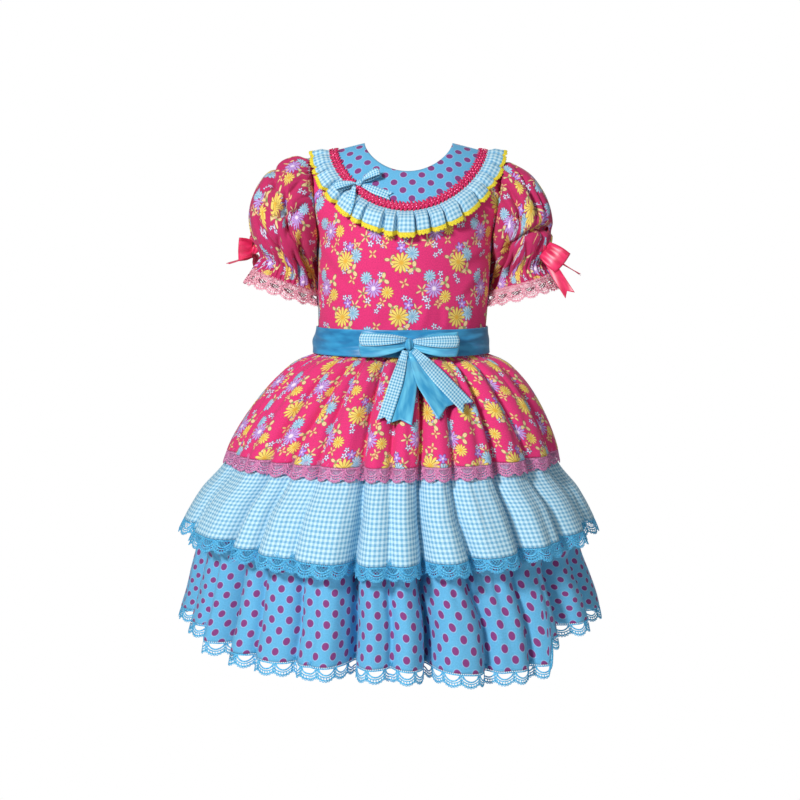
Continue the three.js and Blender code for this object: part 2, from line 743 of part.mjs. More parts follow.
// Waist bow: a satin ribbon tied together with a narrower gingham one
const TO_FRONT = new THREE.Vector3(0, -1, 0);
const UP = new THREE.Vector3(0, 0, 1);
const WAIST_BOW = { centre: KNOT, wide: UP, face: TO_FRONT, start: 7.9, length: 53 };
[
  { name: "left", side: LEFT, curl: 0.01, ginghamShift: 6 },
  { name: "right", side: RIGHT, curl: 0.1, ginghamShift: 3.5 },
].forEach(({ name, side, curl, ginghamShift }) => {
  const out = new THREE.Vector3(side, curl, 0).normalize();
  const satin = { ...WAIST_BOW, out, half: 14.5, shift: -0.5, puff: 7 };
  const gingham = { ...WAIST_BOW, out, half: 7.3, shift: ginghamShift, puff: 7 };
  addLoop(`waist_bow_satin_loop_${name}`, satin, 0, "blueSatin");
  addLoop(`waist_bow_gingham_loop_${name}`, gingham, RIBBON + 1.6, "gingham");
});
const WAIST_KNOT = { centre: KNOT, out: new THREE.Vector3(1, 0, 0), wide: UP, face: TO_FRONT };
addKnot("waist_bow_knot", WAIST_KNOT, { out: 7.2, face: 6, wide: 10 }, "blueSatin");

// The tails fall from the knot over the first tier
const WAIST_TAILS = [
  { name: "gingham_tail_left", start: [3.4, -244.4], end: [-15, -319], halves: [1.6, 8], lift: 5.4 },
  { name: "satin_tail_left", start: [7.2, -246.2], end: [4, -320], halves: [1.6, 11], lift: 3.2 },
  { name: "satin_tail_right", start: [10.8, -246.2], end: [66, -309], halves: [1.6, 12], lift: 3.2 },
  { name: "gingham_tail_right", start: [14.6, -244.4], end: [84, -306], halves: [1.6, 7.5], lift: 6.4 },
];
function overSkirt(flat, lift, along) {
  const z = Math.min(flat.y, SASH_BOTTOM_Z);
  const width = read(TIER_ONE, z, "width");
  const front = read(TIER_ONE, z, "front");
  const y = -front * Math.sqrt(1 - (flat.x / width) ** 2);
  return new THREE.Vector3(flat.x, Math.min(y - 3 * (1 - along) - lift, KNOT.y + 4 - lift), flat.y);
}
WAIST_TAILS.forEach((tail) => {
  const material = tail.name.startsWith("satin") ? "blueSatin" : "gingham";
  addTail(`waist_bow_${tail.name}`, { ...tail, steps: 5 }, overSkirt, material);
});

// Yoke bow, of the ruffle's gingham, on the braid left of the centre
const YOKE_BOW = { x: -57, z: -46, lift: 2.4, tilt: 20 };
const yokeBowFace = bodyNormal(YOKE_BOW.x, YOKE_BOW.z, FRONT);
const yokeBowTilt = YOKE_BOW.tilt * DEGREE;
const yokeBowOut = new THREE.Vector3(Math.cos(yokeBowTilt), 0, Math.sin(yokeBowTilt));
yokeBowOut.addScaledVector(yokeBowFace, -yokeBowOut.dot(yokeBowFace)).normalize();
const yokeBowWide = yokeBowFace.clone().cross(yokeBowOut);
const YOKE_FRAME = {
  centre: onBody(YOKE_BOW.x, YOKE_BOW.z, FRONT, YOKE_BOW.lift),
  face: yokeBowFace,
  wide: yokeBowWide,
};
addKnot("yoke_bow_knot", { ...YOKE_FRAME, out: yokeBowOut }, { out: 3.4, face: 3, wide: 4 }, "gingham");
[
  { name: "left", side: LEFT, rise: 0.42, length: 26 },
  { name: "right", side: RIGHT, rise: 0.15, length: 24 },
].forEach(({ name, side, rise, length }) => {
  const out = yokeBowOut.clone().multiplyScalar(side).addScaledVector(yokeBowFace, rise).normalize();
  const loop = { ...YOKE_FRAME, out, start: 4.3, length, half: 5.5, shift: 0, puff: 5 };
  addLoop(`yoke_bow_loop_${name}`, loop, 0, "gingham");
});
const YOKE_TAILS = [
  { name: "left", start: [-60, -53], end: [-68, -84], halves: [2, 5], lift: 9, steps: 3 },
  { name: "right", start: [-53, -49], end: [-18, -62], halves: [2, 5], lift: 1.3, steps: 3 },
];
YOKE_TAILS.forEach((tail) => {
  addTail(`yoke_bow_tail_${tail.name}`, tail, (p, lift) => onBody(p.x, p.y, FRONT, lift), "gingham");
});

// A satin bow on the elastic of each sleeve, on its outer side
const ELASTIC_RING = SLEEVE_RINGS[6];
const SLEEVE_BOW = { turn: 18, lift: 6.2 };
[
  { name: "left", side: LEFT },
  { name: "right", side: RIGHT },
].forEach(({ name, side }) => {
  const at = (turn, lift) => ringPoint(ELASTIC_RING, side, turn * DEGREE, ELASTIC_RING.gather, -lift);
  const centre = at(SLEEVE_BOW.turn, SLEEVE_BOW.lift);
  const face = centre.clone().sub(at(SLEEVE_BOW.turn, 0)).normalize();
  const along = at(SLEEVE_BOW.turn + 4, 0).sub(at(SLEEVE_BOW.turn - 4, 0));
  along.addScaledVector(face, -along.dot(face)).normalize();
  const wide = face.clone().cross(along);
  const frame = { centre, face, wide };
  addKnot(`sleeve_bow_${name}_knot`, { ...frame, out: along }, { out: 5, face: 5.5, wide: 6 }, "pinkSatin");
  [
    { end: "front", sign: 1 },
    { end: "back", sign: -1 },
  ].forEach(({ end, sign }) => {
    const out = along.clone().multiplyScalar(sign).addScaledVector(face, 0.45).normalize();
    const loop = { ...frame, out, start: 6.3, length: 30, half: 13, shift: 0, puff: 6 };
    addLoop(`sleeve_bow_${name}_loop_${end}`, loop, 0, "pinkSatin");
    const fall = new THREE.Vector3(side * 0.3, -0.35 * sign, -0.9).normalize();
    const across = new THREE.Vector3(0, 1, 0).addScaledVector(fall, -fall.y).normalize();
    const off = across.clone().cross(fall).multiplyScalar(side);
    const root = centre.clone().addScaledVector(along, 3.4 * sign).addScaledVector(fall, 8);
    const tail = { start: [0, 0], end: [0, -38], halves: [3, 9], lift: 0, steps: 3 };
    const place = (p, lift) =>
      root.clone().addScaledVector(across, p.x).addScaledVector(fall, -p.y).addScaledVector(off, lift);
    addTail(`sleeve_bow_${name}_tail_${end}`, tail, place, "pinkSatin");
  });
});

// The whole dress hangs a little to the wearer's right
const lean = new THREE.Matrix4().makeShear(0, 0, 0, 0, LEAN, 0);
dress.traverse((piece) => {
  if (piece.isMesh) piece.geometry.applyMatrix4(lean);
});

export default dress;
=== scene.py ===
"""A child's festa junina dress, filled out as if worn, under plain studio light."""

import math

import bpy
import numpy as np
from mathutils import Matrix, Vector


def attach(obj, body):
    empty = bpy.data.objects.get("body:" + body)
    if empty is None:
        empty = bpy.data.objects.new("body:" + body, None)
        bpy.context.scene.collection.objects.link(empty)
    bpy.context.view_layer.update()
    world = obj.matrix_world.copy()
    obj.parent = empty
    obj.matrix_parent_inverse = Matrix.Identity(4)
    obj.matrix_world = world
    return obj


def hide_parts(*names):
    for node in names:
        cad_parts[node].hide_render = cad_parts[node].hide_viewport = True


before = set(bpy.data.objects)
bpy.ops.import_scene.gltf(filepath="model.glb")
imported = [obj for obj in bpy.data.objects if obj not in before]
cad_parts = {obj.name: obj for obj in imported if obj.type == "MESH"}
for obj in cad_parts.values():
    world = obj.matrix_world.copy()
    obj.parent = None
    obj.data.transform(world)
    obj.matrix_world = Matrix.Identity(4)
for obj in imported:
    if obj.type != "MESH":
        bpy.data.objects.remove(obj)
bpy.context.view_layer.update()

# Sizes are in millimetres until a mesh is made, in the dress's own frame: +Z up, the
# front faces -Y, and the origin lies between the shoulders
MM = 0.001
LEAN = 0.035
SWAY = 8
WALL = 1.6
COTTON = 0.5
RIBBON = 0.45
SEAM = 0.3
WAIST_Z = -238
ARMPIT_Z = -112
NECK_X = 54
NECK_TOP_Z = 6
SHOULDER_SLOPE = 0.25
SHOULDER_END_X = 117
SHOULDER_CROWN = 120
CROWN_POWER = 0.75
SHOULDER_ROUND = 12
NECK_CURVE = 1.35
STEEPEST = 2.3
FRONT, BACK = -1, 1
LEFT, RIGHT = -1, 1
SEED = 24
# Where each tier comes free and its gathers start, the seams of the lower two, and
# where the uneven hem has dropped in full
ONE_TOP, TWO_TOP, THREE_TOP = -252, -387, -490
TWO_SEAM, THREE_SEAM = -352, -440
HEM_Z = -600


def table(names, rows):
    """Columns by name, from rows that run from the lowest z, or the first step, up."""
    return dict(zip(names.split(), np.array(sorted(rows), float).T))


BODY = table(
    "z width edge front back",
    [
        (-240, 103.5, 103.5, 80, 72),
        (-180, 106, 106, 84, 74),
        (-112, 108, 108, 88, 80),
        (-60, 130, 113, 82, 82),
        (-12, 132, 117, 80, 80),
        (10, 132, 117, 80, 80),
    ],
)
TIER_NAMES = "z width front back fold lift"
TIER_ONE = table(
    TIER_NAMES,
    [
        (-238.3, 103.5, 80, 72, 0.3, 0),
        (-252, 107, 84, 77, 0.35, 0),
        (-259, 124, 100, 94, 0.6, 0),
        (-266, 136, 113, 107, 0.8, 0),
        (-310, 175, 154, 150, 1, 0),
        (-366, 205, 189, 187, 0.9, 0),
        (-386, 211, 197, 195, 0.9, 0),
    ],
)
TIER_TWO = table(
    TIER_NAMES,
    [
        (-352, 196, 179, 177, 0.5, 0),
        (-387, 208, 193, 191, 0.75, 0),
        (-424, 238, 222, 220, 1, 7),
        (-468, 262, 246, 244, 1.1, 17),
        (-490, 271, 255, 253, 1.1, 17),
    ],
)
TIER_THREE = table(
    TIER_NAMES,
    [
        (-440, 233, 219, 217, 0.6, 0),
        (-490, 240, 226, 224, 0.85, 0),
        (-530, 252, 239, 237, 1, 0),
        (-582, 267, 255, 253, 1.1, 0),
        (-602, 271, 259, 257, 1.1, 0),
    ],
)

# Valleys of the skirt: their angles from the centre front at three heights, their
# width in degrees and their depth on each tier
FOLD_HEIGHTS = (-545, -425, -300)
FOLD_GAIN = (1.5, 1.15, 1.1)
FOLD_ROWS = [
    (-74, -74, -73, 4.5, 5, 9, 14),
    (-51, -51, -49, 4.0, 8, 18, 26),
    (-39, -40, -37, 3.4, 7, 10, 9),
    (-26, -27, -28, 3.4, 6, 6, 10),
    (-10.5, -9.5, -13, 3.2, 9, 19, 24),
    (0.5, 0.5, -1.5, 3.0, 7, 6, 9),
    (11.5, 10, 12, 3.6, 11, 19, 26),
    (28, 22, 24, 3.4, 6, 13, 14),
    (41, 40, 41, 3.4, 9, 14, 9),
    (56, 58, 54, 4.0, 7, 10, 27),
    (74, 75, 74, 4.5, 5, 9, 13),
]
for k in range(9):
    at = 99 + 20.2 * k + 2.4 * math.sin(2.1 * k)
    swing = math.cos(1.7 * k)
    turns = (at - 1.5 * swing, at + 1.2 * swing, at)
    FOLD_ROWS.append((*turns, 3.9 + 0.3 * swing, 7 + 1.5 * swing, 13 + 4 * swing, 18 + 6 * swing))
# A valley's sharp middle, as a share of its width
FOLD_CORE = 0.34

# Small folds between the valleys, uneven all round
random = np.random.default_rng(SEED + 7)
SMALL_FOLDS = [
    (
        *(at + random.uniform(-3, 3) for height in FOLD_HEIGHTS),
        random.uniform(0.9, 2.2),
        0.6 + 4.4 * random.uniform(0, 1) ** 2,
        0.4 + 4.6 * random.uniform(0, 1) ** 3,
        0.8 + 6.0 * random.uniform(0, 1) ** 2,
    )
    for at in np.arange(-177, 180, 9.1)
]

SLEEVE_RINGS = np.array(
    [
        # topX topZ underX underZ depth gather
        (124, -13, 111.5, -113, 38, 1),
        (141, -11, 112, -119, 48, 3),
        (167, -25, 112.5, -126, 57, 3.5),
        (187, -53, 113, -133, 60, 3),
        (194, -80, 113, -141, 59, 3),
        (190, -108, 113, -151, 52, 3.5),
        (180, -132, 114, -162, 39, 2.5),
        (188, -148, 113, -178, 44, 3.5),
        # The end of the cuff lace
        (197, -163, 113, -195, 49, 3.5),
    ],
    float,
)
ELASTIC = 6
# How much nearer the body the underarm lies, and how much more at the last four rings
UNDERARM_IN = 4.9
ELASTIC_IN = (0.6, 1.8, 2.0, 2.2)
# How much closer and lower the top of the right sleeve hangs, by ring
RIGHT_DROOP = [(6, 4), (12, 9), (14, 10), (14, 10), (13, 9), (9, 8), (5, 7), (5, 7), (5, 7)]


def sleeve_rings(side):
    """The rings of one sleeve."""
    rings = SLEEVE_RINGS.copy()
    rings[:, 2] -= UNDERARM_IN
    rings[5:, 2] -= ELASTIC_IN
    if side == RIGHT:
        rings[:, :2] -= RIGHT_DROOP
    return rings


# Rings round the neck on the body: half width and lowest point
NECKLINE = (54, -30)
YOKE_EDGE = (94, -76)
BODICE_EDGE = (94.5, -76.5)
BRAID_INNER = (86.6, -68.6)
BRAID_OUTER = (96, -78)
RUFFLE_INNER = (95.9, -77.9)
RUFFLE_OUTER = (116, -105)
RUFFLE_PLEATS = 36
PANEL_SHOULDER = 0.86


def smooth_step(low, high, value):
    """0 below low, 1 above high, and a soft curve between."""
    t = np.clip((value - low) / (high - low), 0, 1)
    return t * t * (3 - 2 * t)


def mix(a, b, t):
    return a + (b - a) * t


def bell(away):
    """1 in the middle, falling softly to 0 on both sides."""
    return np.exp(-(away**2))


def read(rows, z, key):
    """A table's column at height z: a smooth curve through the rows, without overshoot."""
    x, y = rows["z"], rows[key]
    rise = np.diff(y) / np.diff(x)
    tangent = np.zeros_like(y)
    before, after = rise[:-1], rise[1:]
    turning = before * after <= 0
    both = np.where(turning, 1, before + after)
    tangent[1:-1] = np.where(turning, 0, 2 * before * after / both)
    tangent[0], tangent[-1] = rise[0], rise[-1]
    z = np.clip(z, x[0], x[-1])
    i = np.clip(np.searchsorted(x, z) - 1, 0, len(x) - 2)
    step = x[i + 1] - x[i]
    t = (z - x[i]) / step
    return (
        (2 * t**3 - 3 * t**2 + 1) * y[i]
        + (t**3 - 2 * t**2 + t) * step * tangent[i]
        + (3 * t**2 - 2 * t**3) * y[i + 1]
        + (t**3 - t**2) * step * tangent[i + 1]
    )


def unit(vectors):
    return vectors / np.maximum(np.linalg.norm(vectors, axis=-1, keepdims=True), 1e-9)


def through(points, samples, closed=False):
    """Smooth curve through the rows of points, read at samples counted in rows."""
    count = len(points)
    i = np.floor(samples).astype(int)
    if not closed:
        i = np.clip(i, 0, count - 2)
    t = (samples - i).reshape((-1,) + (1,) * (points.ndim - 1))
    near = [i + k - 1 for k in range(4)]
    near = [k % count if closed else np.clip(k, 0, count - 1) for k in near]
    a, b, c, d = (points[k] for k in near)
    return 0.5 * (
        2 * b
        + (c - a) * t
        + (2 * a - 5 * b + 4 * c - d) * t**2
        + (3 * b - a - 3 * c + d) * t**3
    )


def grid_normals(points, closed):
    """Unit normals of a grid of points; closed joins the last column to the first."""
    down = np.gradient(points, axis=0)
    if closed:
        across = np.roll(points, -1, axis=1) - np.roll(points, 1, axis=1)
    else:
        across = np.gradient(points, axis=1)
    return unit(np.cross(across, down))


# Body of the dress
def shoulder_z(x):
    return NECK_TOP_Z - SHOULDER_SLOPE * np.maximum(0, np.abs(x) - NECK_X)


def body_y(x, z, face):
    full = read(BODY, z, "front" if face == FRONT else "back")
    across = np.clip(1 - (x / read(BODY, z, "width")) ** 2, 0, 1)
    down = np.clip((shoulder_z(x) - z) / SHOULDER_CROWN, 0, 1)
    return face * full * np.sqrt(across) * (1 - (1 - down) ** 2) ** CROWN_POWER


def body_normal(x, z, face):
    step = 0.5
    level = np.minimum(z, shoulder_z(x) - 1.2)
    slope_x = (body_y(x + step, level, face) - body_y(x - step, level, face)) / (2 * step)
    slope_z = (body_y(x, level + step, face) - body_y(x, level - step, face)) / (2 * step)
    up = np.clip(np.abs(body_y(x, z, face)) / SHOULDER_ROUND, 0, 1)
    return unit(face * np.stack([-slope_x, up, -slope_z], -1))


def on_body(x, z, face, lift):
    x, z, lift = np.broadcast_arrays(x, z, lift)
    points = np.stack([x, body_y(x, z, face), z], -1)
    points = points + body_normal(x, z, face) * lift[..., None]
    points[..., 1] = face * np.maximum(face * points[..., 1], SEAM / 2)
    return points


def ring_z(ring_x, ring_low, angle):
    top = shoulder_z(ring_x)
    return top - (top - ring_low) * np.abs(np.cos(angle)) ** NECK_CURVE


def neck_point(ring_x, ring_low, angle, lift):
    """Point of a ring round the neck; angle 0 is the centre front."""
    x = ring_x * np.sin(angle)
    z = ring_z(ring_x, ring_low, angle)
    front = on_body(x, z, FRONT, lift)
    back = on_body(x, z, BACK, lift)
    return np.where(np.cos(angle)[..., None] >= 0, front, back)


def degrees_from(theta, at):
    """Degrees from an angle, the short way round."""
    away = np.degrees(theta) - at
    return away - 360 * np.round(away / 360)


# Skirt
def fold_depth(theta, z, tier):
    """Depth of the valleys and small folds on a tier, counted from 0."""
    total = np.zeros(np.broadcast(theta, z).shape)
    for *turns, width, one, two, three in FOLD_ROWS:
        away = degrees_from(theta, np.interp(z, FOLD_HEIGHTS, turns))
        depth = (one, two, three)[tier] * FOLD_GAIN[tier]
        valley = 0.85 * bell(away / width)
        total = total + depth * (valley + 0.72 * bell(away / (FOLD_CORE * width)))
    for *turns, width, one, two, three in SMALL_FOLDS:
        away = degrees_from(theta, np.interp(z, FOLD_HEIGHTS, turns))
        total = total + (one, two, three)[tier] * bell(away / width)
    return total


def crest_radius(rows, theta, z):
    width = read(rows, z, "width")
    depth = np.where(np.cos(theta) >= 0, read(rows, z, "front"), read(rows, z, "back"))
    return 1 / np.hypot(np.sin(theta) / width, np.cos(theta) / depth)


def own_radius(rows, tier, theta, z):
    return crest_radius(rows, theta, z) - read(rows, z, "fold") * fold_depth(theta, z, tier)


def under(own, above, theta, z, seam_z, free_z, seam_gap):
    """Keeps a tier inside the one above it, from its seam down to where it hangs free."""
    free_gap = 4.2
    turn = math.radians(0.6)
    r = above(theta, z)
    around = (above(theta + turn, z) - above(theta - turn, z)) / (2 * turn * r)
    down = (above(theta, z + 1) - above(theta, z - 1)) / 2
    steep = np.minimum(STEEPEST, np.sqrt(1 + around**2 + down**2))
    share = np.clip((z - free_z) / (seam_z - free_z), 0, 1)
    limit = r - steep * WALL - mix(free_gap, seam_gap, share)
    return np.where(z < free_z, own, np.minimum(mix(own, limit, share), limit))


def tier_one(theta, z):
    return own_radius(TIER_ONE, 0, theta, z)


def tier_two(theta, z):
    own = own_radius(TIER_TWO, 1, theta, z)
    return under(own, tier_one, theta, z, TWO_SEAM, TWO_TOP, 0.7)


def tier_three(theta, z):
    own = own_radius(TIER_THREE, 2, theta, z)
    return under(own, tier_two, theta, z, THREE_SEAM, THREE_TOP, 1.35)


def gather_rows(seed, count, depth, reach):
    """Small gathers that start at a tier's seam and die out at uneven lengths."""
    random = np.random.default_rng(seed)
    angle = (np.arange(count) + random.uniform(-0.3, 0.3, count)) * 360 / count
    drift = random.uniform(-0.02, 0.02, count)
    width = random.uniform(0.8, 1.7, count)
    depth = depth * random.uniform(0.35, 1, count)
    return np.stack([angle, drift, width, depth, reach * random.uniform(0.35, 1.3, count)], -1)


# Each tier: its rows, its radius, where its gathers start, and its lace repeats
TIERS = {
    "one": (TIER_ONE, tier_one, ONE_TOP, gather_rows(SEED, 74, 3.8, 52), 76),
    "two": (TIER_TWO, tier_two, TWO_TOP, gather_rows(SEED + 1, 90, 2.3, 60), 96),
    "three": (TIER_THREE, tier_three, THREE_TOP, gather_rows(SEED + 2, 96, 2.3, 60), 102),
}


def gather_depth(top, gathers, theta, z):
    total = np.zeros(np.broadcast(theta, z).shape)
    drop = np.maximum(0, top - z)
    starting = smooth_step(14, -6, z - top)
    for angle, drift, width, depth, reach in gathers:
        away = degrees_from(theta, angle + drift * drop)
        total = total + depth * np.exp(-((away / width) ** 2) - (drop / reach) ** 2)
    return total * starting


# How much higher the lowest tier's hem hangs, by angle from the centre front
HEM_ANGLES = (-180, -120, -100, -80, -60, -57.5, -30, 0, 15, 30, 45, 46.8, 70, 90, 110, 180)
HEM_LIFTS = (0, 4, 12, 22, 20, 4, 0, 0, -6, -13, -13, 17, 24, 20, 6, 0)


def skirt_point(tier, theta, z, below=0.0):
    """Point of a tier, or of its lace at a distance below the cloth's edge."""
    rows, radius_at, top, gathers, _ = TIERS[tier]
    theta, z = np.broadcast_arrays(theta, z)
    height = z - below + read(rows, z, "lift") * np.sin(theta) ** 2
    if tier == "three":
        degrees = (np.degrees(theta) + 180) % 360 - 180
        drop = smooth_step(THREE_TOP, HEM_Z, z - below)
        height = height + drop * np.interp(degrees, HEM_ANGLES, HEM_LIFTS)
    radius = radius_at(theta, height) - gather_depth(top, gathers, theta, height)
    return np.stack([radius * np.sin(theta), -radius * np.cos(theta), height], -1)


# Meshes
def to_metres(points):
    """The dress's frame in metres, with its small lean and the sway of the skirt."""
    points = np.array(points, float).reshape(-1, 3)
    z = points[:, 2]
    sway = -SWAY * smooth_step(-250, -410, z) * (1 - 0.7 * smooth_step(THREE_TOP, -560, z))
    points[:, 0] += LEAN * z + sway
    return points * MM


def grid_quads(rows, columns, closed):
    i = np.arange(rows - 1)[:, None]
    j = np.arange(columns if closed else columns - 1)[None, :]
    k = (j + 1) % columns
    ring = [i * columns + j, i * columns + k, (i + 1) * columns + k, (i + 1) * columns + j]
    return np.stack(np.broadcast_arrays(*ring), -1).reshape(-1, 4)


def corner_cut(cut):
    """The flat cut's place at each corner of a grid's quads."""
    corners = [cut[:-1, :-1], cut[:-1, 1:], cut[1:, 1:], cut[1:, :-1]]
    return np.stack(corners, -2).reshape(-1, 2)


def add_piece(name, points, quads, cut, material, nodes):
    """A piece of the dress from points, faces and the flat cut's place at each corner."""
    name = f"{name}_sewn"
    mesh = bpy.data.meshes.new(name)
    mesh.from_pydata(to_metres(points).tolist(), [], quads.tolist())
    layer = mesh.uv_layers.new(name="cut")
    layer.data.foreach_set("uv", (cut * MM).ravel())
    mesh.polygons.foreach_set("use_smooth", np.ones(len(quads), bool))
    mesh.materials.append(material)
    mesh.update()
    piece = bpy.data.objects.new(name, mesh)
    bpy.context.scene.collection.objects.link(piece)
    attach(piece, "root")
    if nodes:
        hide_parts(*nodes)
    return piece


def add_cloth(
    name, points, cut, material, nodes, held, closed=False, wall=COTTON, centre=None
):
    """A sheet of cloth from a grid of points, with the flat cut's place of each.

    A trim, which is sewn to another cloth, is given held as None.
    """
    rows, columns = points.shape[:2]
    quads = grid_quads(rows, columns, closed)
    corners = corner_cut(cut)
    flat = points.reshape(-1, 3)
    a, b, c, d = (flat[quads[:, k]] for k in range(4))
    middle = (a + b + c + d) / 4
    away = middle - (np.array(centre, float) if centre is not None else middle * (0, 0, 1))
    if (np.cross(c - a, d - b) * away).sum() < 0:
        quads = quads[:, ::-1]
        corners = corners.reshape(-1, 4, 2)[:, ::-1].reshape(-1, 2)
    piece = add_piece(name, flat, quads, corners, material, nodes)
    thickness = piece.modifiers.new("cloth", "SOLIDIFY")
    thickness.thickness = wall * MM
    thickness.offset = -1
    if held is None:
        return piece
    width, length = np.ptp(corners, axis=0) * MM
    flat = (float(width), float(length))
    return piece


def run_lengths(points, axis, closed=False):
    """Distance run along a grid's rows or columns, from the first one."""
    if closed:
        points = np.concatenate([points, points[:, :1]], axis=1)
    steps = np.linalg.norm(np.diff(points, axis=axis), axis=-1)
    start = np.zeros_like(np.take(steps, [0], axis=axis))
    return np.concatenate([start, np.cumsum(steps, axis=axis)], axis=axis)


# Colours and materials
MATH = "ShaderNodeMath"
VECTOR = "ShaderNodeVectorMath"
RANGE = "ShaderNodeMapRange"
BLEND = "ShaderNodeMix"
NOISE = "ShaderNodeTexNoise"
BUMP = "ShaderNodeBump"


def paint(code):
    """An sRGB hex colour as linear RGBA."""
    parts = [int(code[i : i + 2], 16) / 255 for i in (1, 3, 5)]
    return [p / 12.92 if p <= 0.04045 else ((p + 0.055) / 1.055) ** 2.4 for p in parts] + [1.0]


def node(tree, kind, inputs=None, **settings):
    """Adds a node with its settings, and its inputs by name or number as values or links."""
    made = tree.nodes.new(kind)
    for key, value in settings.items():
        setattr(made, key, value)
    for key, value in (inputs or {}).items():
        if isinstance(value, bpy.types.NodeSocket):
            tree.links.new(value, made.inputs[key])
        else:
            made.inputs[key].default_value = value
    return made.outputs


def start_material(name, **surface):
    """A new material and its surface shader with plain settings."""
    material = bpy.data.materials.new(name)
    material.use_nodes = True
    tree = material.node_tree
    shader = tree.nodes["Principled BSDF"]
    for key, value in surface.items():
        shader.inputs[key.replace("_", " ")].default_value = value
    return material, tree, shader


def cut_place(tree):
    """The place on the flat cut, in millimetres."""
    uv = node(tree, "ShaderNodeUVMap", uv_map="cut")[0]
    return node(tree, VECTOR, {0: uv, "Scale": 1000.0}, operation="SCALE")[0]


def woven_bump(tree, shader, place, pitch, strength):
    """A plain weave: raised warp and weft threads, and the slubs of a spun yarn."""
    at = node(tree, "ShaderNodeSeparateXYZ", {0: place})
    threads = []
    for axis in (0, 1):
        turned = node(tree, MATH, {0: at[axis], 1: 2 * math.pi / pitch}, operation="MULTIPLY")[0]
        threads.append(node(tree, MATH, {0: turned}, operation="SINE")[0])
    weave = node(tree, MATH, {0: threads[0], 1: threads[1]}, operation="MULTIPLY")[0]
    slubs = node(tree, NOISE, {"Vector": place, "Scale": 0.6, "Detail": 3.0})[0]
    height = node(tree, MATH, {0: slubs, 1: 2.0, 2: weave}, operation="MULTIPLY_ADD")[0]
    bump = node(tree, BUMP, {"Height": height, "Strength": strength, "Distance": 0.0003})[0]
    tree.links.new(bump, shader.inputs["Normal"])
    return slubs


def faded(tree, colour, slubs, amount):
    """Uneven dye: the colour a little darker and lighter with the yarn."""
    level = node(tree, RANGE, {0: slubs, 1: 0.3, 2: 0.7, 3: 1 - amount, 4: 1 + amount})[0]
    return node(
        tree, BLEND, {0: 1.0, 6: colour, 7: level}, data_type="RGBA", blend_type="MULTIPLY"
    )[2]


def scattered(tree, place, pitch, shift, turn):
    """Places in the cells of a printed repeat, each cell turned its own way."""
    moved = node(tree, VECTOR, {0: place, 1: shift}, operation="ADD")[0]
    scaled = node(tree, VECTOR, {0: moved, 1: (*pitch, 1.0)}, operation="DIVIDE")[0]
    cell = node(tree, VECTOR, {0: scaled}, operation="FLOOR")[0]
    part = node(tree, VECTOR, {0: scaled, 1: cell}, operation="SUBTRACT")[0]
    part = node(tree, VECTOR, {0: part, 1: (0.5, 0.5, 0.0)}, operation="SUBTRACT")[0]
    local = node(tree, VECTOR, {0: part, 1: (*pitch, 0.0)}, operation="MULTIPLY")[0]
    chance = node(tree, "ShaderNodeTexWhiteNoise", {"Vector": cell}, noise_dimensions="2D")[0]
    angle = node(tree, RANGE, {0: chance, 3: -turn / 2, 4: turn / 2})[0]
    turned = {"Vector": local, "Angle": angle}
    return node(tree, "ShaderNodeVectorRotate", turned, rotation_type="Z_AXIS")[0]


# Printed flowers and leaves: petals, core size, petal point, petal, shade and eye
BLOOMS = {
    "yellow": (12, 0.55, 1.0, "#F0D26C", "#8E6E28", "#E0B040"),
    "lilac": (13, 0.46, 0.95, "#C39CDD", "#532F86", "#F0DFF2"),
    "sky": (12, 0.58, 0.85, "#ABCFE2", "#33598E", "#7DB0CE"),
    "blossom": (5, 0.22, 0.9, "#E2E2F4", "#5A4A88", "#6E3A66"),
    "violet": (5, 0.36, 0.8, "#B58CE0", "#57348E", "#F0D0E8"),
    "leaf": (3, 0.08, 2.0, "#E8CC98", "#4E4E28", "#7F9A5C"),
    "peach": (4, 0.08, 2.2, "#F2BE8A", "#6C4A30", "#B0704A"),
    "sprig": (5, 0.06, 3.0, "#EBC694", "#5E4A2C", "#6E8A50"),
}


def bloom(tree, place, below, kind, x, y, radius):
    """One printed flower or leaf cluster laid over the colour below it."""
    petals, core, point, light, shade, eye = BLOOMS[kind]
    local = node(tree, VECTOR, {0: place, 1: (x, y, 0.0)}, operation="SUBTRACT")[0]
    at = node(tree, "ShaderNodeSeparateXYZ", {0: local})
    angle = node(tree, MATH, {0: at[1], 1: at[0]}, operation="ARCTAN2")[0]
    away = node(tree, VECTOR, {0: local}, operation="LENGTH")[1]
    turns = node(tree, MATH, {0: angle, 1: petals / 2, 2: x + y}, operation="MULTIPLY_ADD")[0]
    wave = node(tree, MATH, {0: turns}, operation="COSINE")[0]
    wave = node(tree, MATH, {0: wave}, operation="ABSOLUTE")[0]
    wave = node(tree, MATH, {0: wave, 1: point}, operation="POWER")[0]
    size = {0: wave, 1: radius * (1 - core), 2: radius * core}
    edge = node(tree, MATH, size, operation="MULTIPLY_ADD")[0]
    inside = node(tree, MATH, {0: edge, 1: away}, operation="SUBTRACT")[0]
    printed = node(tree, RANGE, {0: inside, 1: -0.2, 2: 0.25})[0]
    outline = node(tree, RANGE, {0: inside, 1: 0.3, 2: 1.35})[0]
    between = node(tree, RANGE, {0: wave, 1: 0.12, 2: 0.62, 3: 0.1, 4: 1.0})[0]
    lit = node(tree, MATH, {0: outline, 1: between}, operation="MULTIPLY")[0]
    petal = node(tree, BLEND, {0: lit, 6: paint(shade), 7: paint(light)}, data_type="RGBA")[2]
    centre = node(tree, RANGE, {0: away, 1: radius * 0.14, 2: radius * 0.3, 3: 1.0, 4: 0.0})[0]
    flower = node(tree, BLEND, {0: centre, 6: petal, 7: paint(eye)}, data_type="RGBA")[2]
    return node(tree, BLEND, {0: printed, 6: below, 7: flower}, data_type="RGBA")[2]


